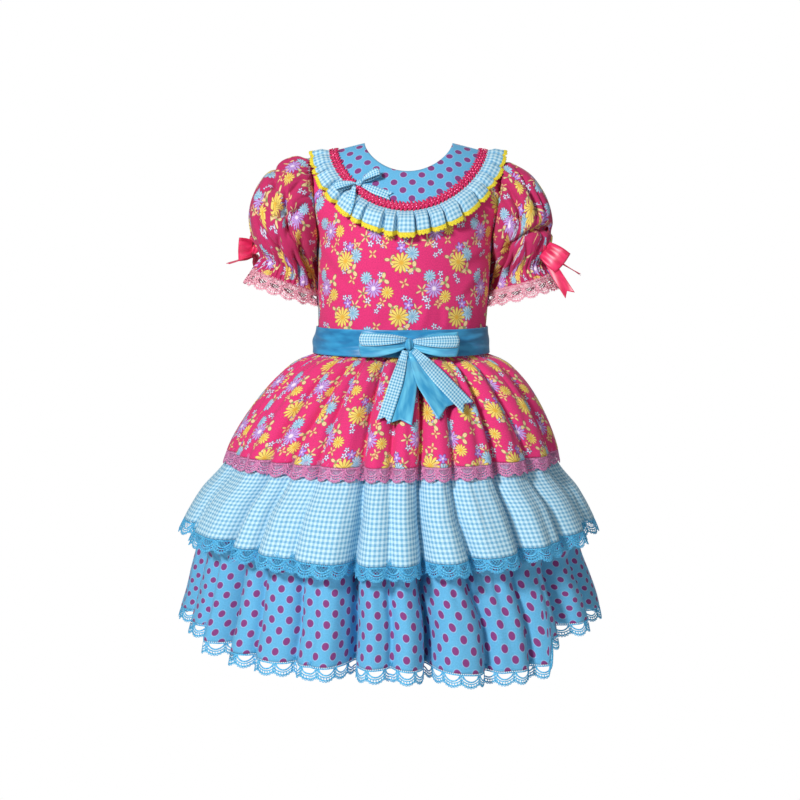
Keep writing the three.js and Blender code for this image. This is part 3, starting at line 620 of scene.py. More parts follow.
# The print: bouquets and fillers, each group on its own repeat. A row gives the kind,
# its place in the repeat and its radius in millimetres.
PRINT = [
    {
        "pitch": (74.0, 68.0),
        "shift": (0.0, 0.0, 0.0),
        "turn": 1.2,
        "blooms": [
            ("sprig", -14, -5, 9),
            ("leaf", 13, 10, 9),
            ("peach", 10, -17, 6.5),
            ("sky", -9, 13, 8.5),
            ("yellow", 17, -6, 8.5),
            ("blossom", -8, -14, 4.8),
            ("lilac", 0, 0, 12),
        ],
    },
    {
        "pitch": (74.0, 68.0),
        "shift": (37.0, 34.0, 0.0),
        "turn": 1.2,
        "blooms": [
            ("leaf", 6, -14, 9.5),
            ("sprig", 14, 12, 9),
            ("leaf", -15, 8, 8),
            ("violet", 3, 15, 6.5),
            ("sky", 11, 3, 9.5),
            ("yellow", -5, -1, 13),
        ],
    },
    {
        "pitch": (37.0, 34.0),
        "shift": (18.0, 2.0, 0.0),
        "turn": 6.28,
        "blooms": [
            ("peach", 7, -5, 7),
            ("blossom", -6, 5, 4.4),
            ("blossom", 0, 9, 4.0),
        ],
    },
]


def floral(name, dye):
    """Cotton poplin printed with small flowers: matte, with a plain weave.

    The real thread pitch of 0.3 mm is drawn at 1.1 mm so that it shows.
    """
    material, tree, shader = start_material(
        name, Roughness=0.82, Specular_IOR_Level=0.25, Sheen_Weight=0.12
    )
    place = cut_place(tree)
    slubs = woven_bump(tree, shader, place, 1.1, 0.25)
    ground = node(tree, "ShaderNodeRGB")[0]
    # The ground's colour: the dyed pink, and on the sleeves a darker one that is painted shade
    ground.default_value = paint(dye)
    colour = ground
    for group in reversed(PRINT):
        spot = scattered(tree, place, group["pitch"], group["shift"], group["turn"])
        for row in group["blooms"]:
            colour = bloom(tree, spot, colour, *row)
    tree.links.new(faded(tree, colour, slubs, 0.12), shader.inputs["Base Color"])
    return material


# Cotton poplin, dyed hot pink and printed with small flowers
floral_cotton = floral("printed cotton poplin, flowers", "#DD3275")
# The sleeves are the same print with a darker ground: painted shade for their shadowed, gathered
# sides
sleeve_cotton_painted_shade = floral("printed cotton poplin, flowers, darkened for painted shade", "#C02A63")


def gingham(name, repeat, light, dark):
    """Yarn-dyed gingham: white and blue stripes that cross, twice as deep where they meet."""
    material, tree, shader = start_material(
        name, Roughness=0.85, Specular_IOR_Level=0.25, Sheen_Weight=0.1
    )
    place = cut_place(tree)
    slubs = woven_bump(tree, shader, place, 0.9, 0.2)
    at = node(tree, "ShaderNodeSeparateXYZ", {0: place})
    stripes = []
    for axis in (0, 1):
        turns = node(tree, MATH, {0: at[axis], 1: 2 * math.pi / repeat}, operation="MULTIPLY")[0]
        wave = node(tree, MATH, {0: turns}, operation="SINE")[0]
        stripes.append(node(tree, RANGE, {0: wave, 1: -0.25, 2: 0.25})[0])
    dyed = node(tree, MATH, {0: stripes[0], 1: stripes[1]}, operation="ADD")[0]
    check = node(tree, RANGE, {0: dyed, 1: 0.0, 2: 2.0})[0]
    colour = node(tree, BLEND, {0: check, 6: paint(light), 7: paint(dark)}, data_type="RGBA")[2]
    tree.links.new(faded(tree, colour, slubs, 0.06), shader.inputs["Base Color"])
    return material


# Yarn-dyed cotton gingham in white and light blue, matte: a 5.5 mm repeat on the cloth
# and 3.2 mm on the ribbon of the bows. The threads are drawn at 0.9 mm so that they show.
gingham_cotton = gingham("woven cotton gingham", 5.5, "#C6E6F2", "#6BAACF")
gingham_ribbon = gingham("woven gingham ribbon", 3.2, "#C4E8F4", "#4E9FCA")

# Printed cotton poplin, mid blue with purple dots 8 mm across in a centred 22 mm
# square, each with a pale rim where the print misses the ground
DOT_REPEAT = 22.0
DOT_RADIUS = 4.1
dotted_cotton, tree, shader = start_material(
    "printed cotton poplin, dots", Roughness=0.82, Specular_IOR_Level=0.25, Sheen_Weight=0.12
)
place = cut_place(tree)
slubs = woven_bump(tree, shader, place, 1.1, 0.22)
nearest = None
for shift in (0.0, DOT_REPEAT / 2):
    moved = node(tree, VECTOR, {0: place, 1: (shift, shift, 0.0)}, operation="ADD")[0]
    scaled = node(tree, VECTOR, {0: moved, "Scale": 1 / DOT_REPEAT}, operation="SCALE")[0]
    part = node(tree, VECTOR, {0: scaled}, operation="FRACTION")[0]
    local = node(tree, VECTOR, {0: part, 1: (0.5, 0.5, 0.0)}, operation="SUBTRACT")[0]
    away = node(tree, VECTOR, {0: local}, operation="LENGTH")[1]
    if nearest is not None:
        away = node(tree, MATH, {0: away, 1: nearest}, operation="MINIMUM")[0]
    nearest = away
away = node(tree, MATH, {0: nearest, 1: DOT_REPEAT}, operation="MULTIPLY")[0]
rim = node(tree, RANGE, {0: away, 1: DOT_RADIUS + 1.2, 2: DOT_RADIUS + 0.5})[0]
dot = node(tree, RANGE, {0: away, 1: DOT_RADIUS + 0.3, 2: DOT_RADIUS - 0.3})[0]
colour = node(tree, BLEND, {0: rim, 6: paint("#62B0DA"), 7: paint("#8CBCE2")}, data_type="RGBA")[2]
colour = node(tree, BLEND, {0: dot, 6: colour, 7: paint("#853C7C")}, data_type="RGBA")[2]
tree.links.new(faded(tree, colour, slubs, 0.08), shader.inputs["Base Color"])


def satin(name, light, dark):
    """Woven satin ribbon: a smooth float of threads, with soft stripes of painted sheen and shade
    in its colour along it.
    """
    material, tree, shader = start_material(
        name, Roughness=0.36, Specular_IOR_Level=0.5, Sheen_Weight=0.2, Anisotropic=0.4
    )
    place = cut_place(tree)
    at = node(tree, "ShaderNodeSeparateXYZ", {0: place})
    streak = node(tree, "ShaderNodeCombineXYZ", {0: at[0], 1: 0.0, 2: 0.0})[0]
    stretched = node(tree, VECTOR, {0: place, 1: (0.4, 0.35, 1.0)}, operation="MULTIPLY")[0]
    streak = node(tree, VECTOR, {0: stretched, 1: streak}, operation="ADD")[0]
    # Painted sheen: the colour streaks lighter and darker along the ribbon
    painted_sheen_streaks = node(tree, NOISE, {"Vector": streak, "Scale": 0.09, "Detail": 2.0})[0]
    level = node(tree, RANGE, {0: painted_sheen_streaks, 1: 0.38, 2: 0.62})[0]
    colour = node(tree, BLEND, {0: level, 6: paint(dark), 7: paint(light)}, data_type="RGBA")[2]
    tree.links.new(colour, shader.inputs["Base Color"])
    bump = node(tree, BUMP, {"Height": painted_sheen_streaks, "Strength": 0.15, "Distance": 0.0003})[0]
    tree.links.new(bump, shader.inputs["Normal"])
    return material


# Polyester satin ribbon, piece-dyed; its colour streaks between a light and a deep tone along it,
# painted sheen and shade
blue_satin = satin("polyester satin ribbon, blue", "#66C2E4", "#3294C4")
# The sash is the same ribbon with darker colours: painted shade where it turns away from the light
sash_satin_painted_shade = satin("polyester satin ribbon, blue, darkened for painted shade", "#2F98CC", "#1878AE")
pink_satin = satin("polyester satin ribbon, pink", "#F02C68", "#CC0C48")


def thread(name, light, dark, scale, **surface):
    """Spun thread of a lace or braid, with a painted highlight: random patches whose colour is
    lighter where the bump stands high.
    """
    material, tree, shader = start_material(name, Specular_IOR_Level=0.3, **surface)
    place = cut_place(tree)
    # Painted highlight: this noise raises the bump and lightens the colour on the same places
    fluff_and_painted_highlight = node(tree, NOISE, {"Vector": place, "Scale": scale, "Detail": 3.0})[0]
    level = node(tree, RANGE, {0: fluff_and_painted_highlight, 1: 0.35, 2: 0.65})[0]
    colour = node(tree, BLEND, {0: level, 6: paint(dark), 7: paint(light)}, data_type="RGBA")[2]
    tree.links.new(colour, shader.inputs["Base Color"])
    bump = node(tree, BUMP, {"Height": fluff_and_painted_highlight, "Strength": 0.5, "Distance": 0.0004})[0]
    tree.links.new(bump, shader.inputs["Normal"])
    return material


# Raschel-knitted polyester lace, dyed: matte threads, lighter in random patches where the bump
# stands high, uneven tone and painted highlight
blue_lace = thread("knitted polyester lace, blue", "#74D0F4", "#2E96D2", 0.9, Roughness=0.75)
mauve_lace = thread("knitted polyester lace, mauve", "#EBA9D0", "#C25596", 0.9, Roughness=0.75)
rose_lace = thread("knitted polyester lace, rose", "#F9C9D6", "#E27E98", 0.9, Roughness=0.75)
# Crocheted cotton edging, dyed yellow: matte and knobbly
yellow_crochet = thread("crocheted cotton edging", "#F6E94A", "#CBB01E", 0.8, Roughness=0.8)
# Machine braid with pressed foil sequins: pink plastic film that glints
braid_thread = thread("machine braid thread", "#E52E6C", "#AE0E44", 0.9, Roughness=0.6)
sequin_foil = thread(
    "pressed foil sequins", "#FF76A2", "#D42E66", 0.4, Roughness=0.22, Metallic=0.35
)


# Bodice: one front panel and two back panels that meet at the centre back
def panel_point(across, up, face):
    side = np.abs(across)
    angle = np.sign(across) * np.minimum(1, side / PANEL_SHOULDER) * math.pi / 2
    beyond = np.clip((side - PANEL_SHOULDER) / (1 - PANEL_SHOULDER), 0, 1)
    end_x = read(BODY, shoulder_z(SHOULDER_END_X), "edge")
    top_x = mix(BODICE_EDGE[0] * np.abs(np.sin(angle)), end_x, beyond)
    top_z = np.where(beyond > 0, shoulder_z(top_x), ring_z(*BODICE_EDGE, angle))
    waist_x = read(BODY, WAIST_Z, "edge")
    z = mix(WAIST_Z, top_z, up)
    straight = mix(side * waist_x, top_x, up)
    bulge = read(BODY, z, "edge") - mix(waist_x, end_x, up)
    x = np.sign(across) * (straight + bulge * side**3)
    return x, z


# Soft creases of the bodice: from and to in x and z, width and height
BODICE_CREASES = [
    (-104, -120, -58, -150, 7, 1.6),
    (-106, -138, -70, -176, 6, 1.3),
    (104, -118, 60, -146, 7, 1.7),
    (106, -140, 66, -182, 6, 1.4),
    (-88, -100, -64, -128, 8, 1.0),
    (90, -98, 66, -124, 8, 1.1),
    (-66, -218, -58, -176, 5, 1.3),
    (-34, -219, -38, -168, 6, 1.2),
    (-12, -219, -8, -184, 5, 0.9),
    (22, -219, 28, -172, 6, 1.3),
    (52, -219, 48, -180, 5, 1.1),
    (80, -218, 74, -186, 5, 1.2),
]


def crease_height(x, z, creases):
    """Soft ridges along short lines, fading at their ends."""
    total = np.zeros(x.shape)
    for x0, z0, x1, z1, width, height in creases:
        run = np.array([x1 - x0, z1 - z0], float)
        length = np.hypot(*run)
        run = run / length
        along = ((x - x0) * run[0] + (z - z0) * run[1]) / length
        across = -(x - x0) * run[1] + (z - z0) * run[0] + 3 * np.sin(along * 2.4)
        fade = smooth_step(-0.15, 0.25, along) * smooth_step(1.15, 0.6, along)
        ridge = bell(across / width) - 0.6 * bell((across - 1.5 * width) / width)
        total = total + height * fade * ridge
    return total


def add_panel(name, face, first, last, columns):
    across, up = np.meshgrid(np.linspace(first, last, columns), np.linspace(0, 1, 72))
    x, z = panel_point(across, up, face)
    rise = crease_height(face * -x, z, BODICE_CREASES)
    rise = rise * smooth_step(1.0, 0.94, np.abs(across)) * smooth_step(1.0, 0.9, up)
    points = on_body(x, z, face, rise - 0.2)
    middle = int(np.argmin(np.abs(across[0])))
    u = run_lengths(points, 1)
    u = u - u[:, [middle]]
    v = z[:1] + run_lengths(points[..., 1:], 0)
    cut = np.stack([u, v], -1)
    add_cloth(name, points, cut, floral_cotton, [name], "stretched")


add_panel("bodice_front", FRONT, -1, 1, 161)
add_panel("bodice_back_left", BACK, -1, -0.0005, 81)
add_panel("bodice_back_right", BACK, 0.0005, 1, 81)


# Round yoke
def add_yoke(name, first, last, columns):
    angle, share = np.meshgrid(np.radians(np.linspace(first, last, columns)), np.linspace(0, 1, 26))
    ring_x = mix(NECKLINE[0], YOKE_EDGE[0], share)
    ring_low = mix(NECKLINE[1], YOKE_EDGE[1], share)
    points = neck_point(ring_x, ring_low, angle, -0.3)
    # Cut place: across the body, and down it from the shoulder line
    drop = np.hypot(points[..., 1], points[..., 2] - NECK_TOP_Z)
    cut = np.stack([points[..., 0] + 5, -drop], -1)
    add_cloth(name, points, cut, dotted_cotton, [name], "stretched")


add_yoke("yoke_front", -89.9, 89.9, 121)
add_yoke("yoke_back_left", -179.97, -90.1, 61)
add_yoke("yoke_back_right", 90.1, 179.97, 61)


# Collar ruffle: flat pleats between narrow deep creases, with a crocheted edging
random = np.random.default_rng(SEED + 3)
crease_at = np.arange(RUFFLE_PLEATS) + 0.5 + random.uniform(-0.16, 0.16, RUFFLE_PLEATS)
crease_at = crease_at * 360 / RUFFLE_PLEATS
crease_width = random.uniform(0.42, 0.85, RUFFLE_PLEATS)
crease_depth = random.uniform(0.85, 1.0, RUFFLE_PLEATS)
crease_slant = random.uniform(-1.2, 1.2, RUFFLE_PLEATS)
pleat_drop = random.uniform(-1, 1, RUFFLE_PLEATS)
PLEAT_LIFT = 9.4
# The ruffle and the braid end just short of the centre back, in degrees
BACK_END = 179.88


def ruffle_wave(angle, share):
    """1 on a pleat and near 0 in a crease, over the ruffle from seam to edge."""
    wave = np.ones(np.broadcast(angle, share).shape)
    for at, width, depth, slant in zip(crease_at, crease_width, crease_depth, crease_slant):
        away = degrees_from(angle, at + slant * (share - 0.5))
        spread = width * (0.8 + 0.7 * share)
        wave = wave - depth * np.exp(-np.abs(away / spread) ** 2.4)
    return np.clip(wave, 0, 1)


def ruffle_point(angle, share, extra):
    angle, share = np.broadcast_arrays(angle, share)
    wave = ruffle_wave(angle, share)
    pleat = np.floor(np.degrees(angle) * RUFFLE_PLEATS / 360 + 0.5).astype(int) % RUFFLE_PLEATS
    reach = share * (0.9 + 0.1 * wave * (1 + 0.4 * pleat_drop[pleat]))
    ring_x = mix(RUFFLE_INNER[0], RUFFLE_OUTER[0], reach)
    ring_low = mix(RUFFLE_INNER[1], RUFFLE_OUTER[1], reach)
    shoulder = np.sin(angle) ** 4
    start = np.minimum(share * 2.2, 1) * (1 - 0.55 * shoulder)
    roll = 1.5 * share * np.cos((np.degrees(angle) - 10 * pleat) * 0.3)
    lift = 1.0 + start * PLEAT_LIFT * wave + roll * wave
    return neck_point(ring_x, ring_low, angle, lift + extra)


around = np.radians(np.linspace(-BACK_END, BACK_END, 1441))
angle, share = np.meshgrid(around, np.linspace(0, 1, 16))
ruffle = ruffle_point(angle, share, 0)
edge_run = run_lengths(ruffle, 1)[-1]
ruffle_cut = np.stack([np.broadcast_to(edge_run, share.shape), -run_lengths(ruffle, 0)], -1)

PICOT = 4.6
EDGING_SHARE = 0.13
share = mix(0.985, 1 + EDGING_SHARE, np.linspace(0, 1, 7))[:, None]
picot = np.abs(np.sin(math.pi * edge_run / PICOT))
share = share + 0.05 * picot * (share > 1.02) * (share - 0.98) / EDGING_SHARE
points = ruffle_point(angle[:7], share, 0.45)
cut = np.stack([np.broadcast_to(edge_run, points.shape[:2]), -run_lengths(points, 0)], -1)
edging = add_cloth(
    "collar_edging", points, cut, yellow_crochet, ["collar_edging"], None, wall=0.8
)


# Braid over the yoke seam: a flat band with slanting loops of thread and sequins
def braid_point(angle, share, lift):
    ring_x = mix(BRAID_INNER[0], BRAID_OUTER[0], share)
    ring_low = mix(BRAID_INNER[1], BRAID_OUTER[1], share)
    return neck_point(ring_x, ring_low, angle, lift)


around = np.radians(np.linspace(-BACK_END, BACK_END, 721))
angle, share = np.meshgrid(around, np.linspace(0.12, 0.88, 5))
points = braid_point(angle, share, 1.5 - 1.6 * (share - 0.5) ** 2)
braid_run = run_lengths(points, 1)[2]
cut = np.stack([np.broadcast_to(braid_run, share.shape), -run_lengths(points, 0)], -1)
braid = add_cloth(
    "collar_braid", points, cut, braid_thread, ["collar_braid"], None, wall=0.9
)


LUMP_RIM = 6
BRAID_WIDE = 9.8


def add_lumps(name, rows, material):
    """Small domed pieces on the braid: place along and across it, size, slant, lift, tilt."""
    points, quads, cut = [], [], []
    turns = np.linspace(0, 2 * math.pi, LUMP_RIM, endpoint=False)
    for run, across, long, wide, slant, lift, tilt in rows:
        first = len(points)
        for scale, rise in ((1, 0.0), (0.72, 0.5), (0.3, 0.75)):
            u = scale * long / 2 * np.cos(turns)
            v = scale * wide / 2 * np.sin(turns)
            du = u * math.cos(slant) - v * math.sin(slant)
            dv = u * math.sin(slant) + v * math.cos(slant)
            angles = np.interp(run + du, braid_run, angle[0])
            shares = across + dv / BRAID_WIDE
            points.extend(braid_point(angles, shares, lift + rise + tilt * u * 0.25))
            cut.extend(np.stack([run + du, BRAID_WIDE * shares], -1))
        for low in (first, first + LUMP_RIM):
            for j in range(LUMP_RIM):
                k = (j + 1) % LUMP_RIM
                quads.append((low + j, low + k, low + LUMP_RIM + k, low + LUMP_RIM + j))
        top = first + 2 * LUMP_RIM
        quads += [(top, top + 1, top + 2, top + 3), (top, top + 3, top + 4, top + 5)]
    quads = np.array(quads)
    corners = np.array(cut)[quads].reshape(-1, 2)
    return add_piece(name, np.array(points), quads, corners, material, [])


random = np.random.default_rng(SEED + 4)
LOOP_PITCH = 5.0
loops = []
sequins = []
for run in np.arange(2, braid_run[-1] - 2, LOOP_PITCH):
    for across, slant, lift in ((0.16, 0.95, 1.6), (0.86, -0.95, 2.2)):
        at = run + LOOP_PITCH * (across > 0.5) / 2 + random.uniform(-0.5, 0.5)
        lean = slant + random.uniform(-0.25, 0.25)
        loops.append((at, across, random.uniform(6.6, 8.2), 3.1, lean, lift, 0.0))
    for across in (0.36, 0.66):
        at = run + random.uniform(-1, 1) + 6 * (across - 0.5)
        turn = random.uniform(0, 6)
        lift = 2.2 + random.uniform(0, 0.3)
        sequins.append((at, across, 2.9, 2.9, turn, lift, random.uniform(-1, 1)))
trims = [
    edging,
    braid,
    add_lumps("braid_loops", loops, braid_thread),
    add_lumps("braid_sequins", sequins, sequin_foil),
]
add_cloth(
    "collar_ruffle",
    ruffle,
    ruffle_cut,
    gingham_cotton,
    ["collar_ruffle"],
    "gathered",
)


# Skirt tiers: each one tube of cloth, gathered at its seam
TIER_COLUMNS = 1080
# The lace's header is sewn over the last of the cloth
HEM_UNDER = 4.6


def print_across(around, theta, z):
    """Place of the print across a tier: true between valleys, and lost in them.

    The cloth that a gathered tube takes up at its narrow end is hidden in the valleys.
    """
    valleys = np.stack([np.interp(z, FOLD_HEIGHTS, row[:3]) for row in FOLD_ROWS], -1)
    valleys = np.sort((valleys + 180) % 360 - 180, axis=1)
    valleys = np.concatenate([valleys[:, -1:] - 360, valleys, valleys[:, :1] + 360], axis=1)
    degrees = np.degrees(np.append(theta, theta[0] + 2 * math.pi))
    wide = np.concatenate([degrees[:-1] - 360, degrees, degrees[1:] + 360])
    place = np.zeros_like(around)
    home = None
    for i, run in enumerate(around):
        girth = run[-1]
        whole = np.concatenate([run[:-1] - girth, run, run[1:] + girth])
        middles = (valleys[i, 1:] + valleys[i, :-1]) / 2
        here = np.interp(middles, wide, whole)
        home = here if home is None else home
        sector = np.clip(np.searchsorted(valleys[i], degrees) - 1, 0, len(middles) - 1)
        place[i] = run + (home - here)[sector]
    return mix(place, around / around[:, -1:] * around[0, -1], 0.3)


def add_tier(tier, rows, material):
    theta = np.linspace(-math.pi, math.pi, TIER_COLUMNS, endpoint=False)
    levels = TIERS[tier][0]["z"]
    z = np.linspace(levels[1] - HEM_UNDER, levels[-1], rows)
    points = skirt_point(tier, theta[None, :], z[:, None])
    around = run_lengths(points, 1, closed=True)
    up = run_lengths(points, 0).mean(axis=1)
    u = print_across(around, theta, z)
    u = u - around[0, -1] / 2
    cut = np.stack([u, np.broadcast_to(up[:, None], u.shape)], -1)
    nodes = [f"skirt_tier_{tier}_front", f"skirt_tier_{tier}_back"]
    add_cloth(f"skirt_tier_{tier}", points, cut, material, nodes, "gathered", closed=True)


add_tier("one", 52, floral_cotton)
add_tier("two", 44, gingham_cotton)
add_tier("three", 48, dotted_cotton)


# Lace: a dense header over a row of D-shaped openings, with arcs and a scalloped edge.
# Lines are drawn in one repeat, along it from 0 to 1 and down in millimetres.
LACE_THREAD = 0.9


def lace_lines():
    """The threads of one repeat: points, and how thick each thread is."""
    t = np.linspace(0, 1, 13)
    dip = np.sin(math.pi * t)
    lines = [
        (np.stack([t, 0 * t + 0.4], -1), 1.2),
        (np.stack([t, 0 * t + 6.2], -1), 1.3),
        (np.stack([0.07 + 0.86 * t, 6.8 + 6.6 * dip**0.6], -1), 1.7),
        (np.stack([t, 10.6 + 5.0 * dip**0.7], -1), 1.3),
        (np.stack([t, 13.4 + 5.2 * dip**0.7 + 0.35 * np.cos(24 * math.pi * t)], -1), 1.6),
    ]
    for k in range(7):
        x = (k + 0.5) / 7
        side = math.sin(math.pi * x)
        low = 13.8 + 5.4 * side**0.7
        lines.append((np.array([(x, 11 + 4.6 * side**0.7), (x + 0.03, low)]), 1.0))
        loop = [(x - 0.06, low), (x - 0.03, low + 1.7), (x + 0.03, low + 1.7), (x + 0.06, low)]
        lines.append((np.array(loop), LACE_THREAD))
    for x in (-0.06, 0.06):
        petal = np.array([(0, 7), (x, 8.6), (x * 1.3, 10.4), (0, 12.4)])
        lines.append((petal, LACE_THREAD))
    lines.append((np.array([(0, 6.4), (0, 16)]), LACE_THREAD))
    return lines


def net_lines(top, bottom, across, thick):
    """Crossing threads of a net between two depths of the repeat."""
    lines = []
    lean = 0.16
    for k in range(across):
        x = (k + 0.5) / across
        lines.append((np.array([(x - lean, top), (x + lean, bottom)]), thick))
        lines.append((np.array([(x + lean, top), (x - lean, bottom)]), thick))
    return lines


def strands(surface, cells, lines, lift):
    """Threads laid on a surface, one copy of each line for each repeat."""
    points, quads, cut, first = [], [], [], 0
    count = np.arange(cells)[:, None]
    for line, thick in lines:
        along = count + line[None, :, 0]
        down = np.broadcast_to(line[None, :, 1], along.shape)
        here = surface(along, down)
        run = unit(np.gradient(here, axis=1))
        normal = unit(
            np.cross(
                surface(along + 0.02, down) - surface(along - 0.02, down),
                surface(along, down + 0.3) - surface(along, down - 0.3),
            )
        )
        side = unit(np.cross(run, normal))
        ring = [
            here + side * (s * thick / 2) + normal * (lift + h * 0.15)
            for s, h in ((-1, -1), (1, -1), (1, 1), (-1, 1))
        ]
        steps = line.shape[0]
        ring = np.stack(ring, 2)
        points.append(ring.reshape(-1, 3))
        place = np.stack([along, down], -1)[:, :, None, :].repeat(4, axis=2)
        cut.append(place.reshape(-1, 2))
        for cell in range(cells):
            base = first + cell * steps * 4
            for i in range(steps - 1):
                a = base + i * 4
                for j in range(4):
                    k = (j + 1) % 4
                    quads.append((a + j, a + k, a + 4 + k, a + 4 + j))
            end = base + (steps - 1) * 4
            quads.append((base + 3, base + 2, base + 1, base))
            quads.append((end, end + 1, end + 2, end + 3))
        first += cells * steps * 4
    return np.concatenate(points), np.array(quads), np.concatenate(cut)


def add_lace(name, surface, cells, length, lines, material, nodes, lift=0.35):
    points, quads, cut = strands(surface, cells, lines, lift)
    cut = cut * (length / cells, 1.0)
    corners = cut[quads].reshape(-1, 2)
    piece = add_piece(name, points, quads, corners, material, nodes)
    return piece


def tier_surface(tier):
    """Places on a tier below its cloth, by repeats along and millimetres down."""
    rows, *_, cells = TIERS[tier]
    edge = rows["z"][1]
    theta = np.linspace(-math.pi, math.pi, 2881)
    rim = skirt_point(tier, theta, edge)
    length = np.concatenate([[0], np.cumsum(np.linalg.norm(np.diff(rim, axis=0), axis=1))])

    def surface(along, down):
        turn = np.floor(along / cells)
        run = (along / cells - turn) * length[-1]
        angle = np.interp(run, length, theta) + 2 * math.pi * turn
        return skirt_point(tier, angle, edge, down)

    return surface, cells, float(length[-1])


for tier, material, slot in (
    ("one", mauve_lace, "pink_lace"),
    ("two", blue_lace, "blue_lace"),
    ("three", blue_lace, "blue_lace"),
):
    surface, cells, length = tier_surface(tier)
    lines = lace_lines() + net_lines(-1.5, 6.2, 9, 0.6)
    if tier != "three":
        lines += net_lines(6.2, 13.2, 8 if tier == "one" else 6, 0.5)
    nodes = [f"lace_{tier}_front", f"lace_{tier}_back"]
    add_lace(f"lace_{tier}", surface, cells, length, lines, material, nodes)


# Sleeves. The underside lies this far behind the head of the sleeve
SLEEVE_BACK = 20


def sleeve_ring(ring, side, angle, rise):
    top_x, top_z, under_x, under_z, depth = ring[:5]
    top = np.array([side * top_x, 0, top_z])
    underarm = np.array([side * under_x, 0, under_z])
    centre = (top + underarm) / 2
    arm = (top - centre) * np.cos(angle)[..., None]
    inner = (0.5 - 0.5 * np.cos(angle)) ** 2 * smooth_step(-10, -110, top_z)
    arm[..., 1] = SLEEVE_BACK * inner - depth * np.sin(angle)
    arm[..., 0] -= side * 2.6 * inner
    return centre + arm + unit(arm) * np.asarray(rise)[..., None]


def armhole(side, angle):
    top_z = shoulder_z(SHOULDER_END_X)
    middle = (top_z + ARMPIT_Z) / 2
    z = mix(middle, top_z, np.cos(angle))
    edge = read(BODY, z, "edge")
    y = np.where(np.sin(angle) >= 0, body_y(edge, z, FRONT), body_y(edge, z, BACK))
    return np.stack([side * (edge + 0.4), y, z], -1)


SLEEVE_COLUMNS = 480
SLEEVE_ROWS = 112
CUFF_CELLS = 16
GATHER_WIDTH = 2.1
# Large creases of the puff: angle and row at each end, width in degrees, depth
SLEEVE_CREASES = [
    (20, 1.2, 62, 3.4, 9, 4.5),
    (64, 0.6, 84, 3.0, 7, 3.5),
    (96, 0.8, 100, 3.6, 7, 3.5),
    (40, 3.6, 66, 5.4, 7, 3.0),
    (88, 3.9, 82, 5.5, 6, 3.0),
    (120, 2.4, 128, 4.8, 7, 2.6),
    (8, 3.2, 16, 5.3, 7, 3.0),
    (-24, 1.2, -50, 3.6, 9, 4.0),
    (-70, 0.8, -88, 3.4, 8, 3.5),
    (-60, 3.8, -76, 5.4, 7, 3.0),
    (-106, 2.2, -112, 4.6, 7, 2.6),
    (128, 3.0, 146, 6.6, 9, 9.5),
    (158, 3.6, 168, 6.8, 8, 6.0),
    (28, 2.2, 48, 4.4, 5, 3.2),
    (104, 1.4, 76, 3.2, 5, 3.4),
    (112, 4.4, 118, 6.6, 5, 5.0),
    (-134, 3.4, -150, 6.4, 9, 6.0),
]
# Creases of one sleeve alone: the notch below the head, and the fold above the bow
OWN_CREASES = {
    LEFT: [(-40, 1.5, 66, 2.5, 26, 4.6), (70, 1.9, 112, 3.4, 9, 7.0), (52, 4.0, 96, 5.4, 8, 6.5)],
    RIGHT: [(10, 4.5, 118, 3.2, 22, 9.0), (34, 0.4, 52, 3.4, 6, 6.0), (74, 1.2, 96, 3.0, 7, 6.5)],
}


def sleeve_grid(side, seed):
    random = np.random.default_rng(seed)
    angle = np.linspace(-math.pi, math.pi, SLEEVE_COLUMNS, endpoint=False)
    rings = sleeve_rings(side)[:-1]
    drawn = [sleeve_ring(ring, side, angle, 0 * angle) for ring in rings]
    base = np.stack([armhole(side, angle), *drawn])
    samples = np.linspace(0, len(base) - 1, SLEEVE_ROWS)
    points = through(base, samples)
    row = samples[:, None] - 1
    degrees = np.degrees(angle)[None, :]
    outer = 0.55 + 0.45 * np.cos(angle)[None, :]
    rise = np.zeros((SLEEVE_ROWS, SLEEVE_COLUMNS))
    rise += np.interp(row, np.arange(8), rings[:, 5]) * 0.25 * outer
    head = bell((row - 0.2) / 1.1)
    elastic = bell(row - ELASTIC)
    frill = smooth_step(ELASTIC, 7, row)
    for count, reach, depth in ((34, head, 3.2), (44, elastic, 3.9), (38, frill, 3.9)):
        phase = np.cumsum(random.uniform(0.6, 1.4, count))
        phase = phase / phase[-1] * 360
        size = random.uniform(0.5, 1.0, count)
        for at, part in zip(phase, size):
            away = (degrees - at + 180) % 360 - 180
            rise -= reach * depth * part * outer * bell(away / GATHER_WIDTH)
    for a0, r0, a1, r1, width, depth in SLEEVE_CREASES + OWN_CREASES[side]:
        share = (row - r0) / (r1 - r0)
        away = (degrees - mix(a0, a1, share) + 180) % 360 - 180
        fade = smooth_step(-0.2, 0.3, share) * smooth_step(1.2, 0.7, share)
        away = away / width
        rise -= depth * fade * (bell(away) + 0.6 * bell(away * 2.6))
    rise *= smooth_step(-1.0, -0.4, row)
    # The elastic draws the cloth in all round
    rise -= bell((row - ELASTIC) / 0.35) * outer
    outward = grid_normals(points, True)
    centre = points.mean(axis=1, keepdims=True)
    outward *= np.sign(((points - centre) * outward).sum(axis=-1, keepdims=True))
    return angle, points + outward * rise[..., None]


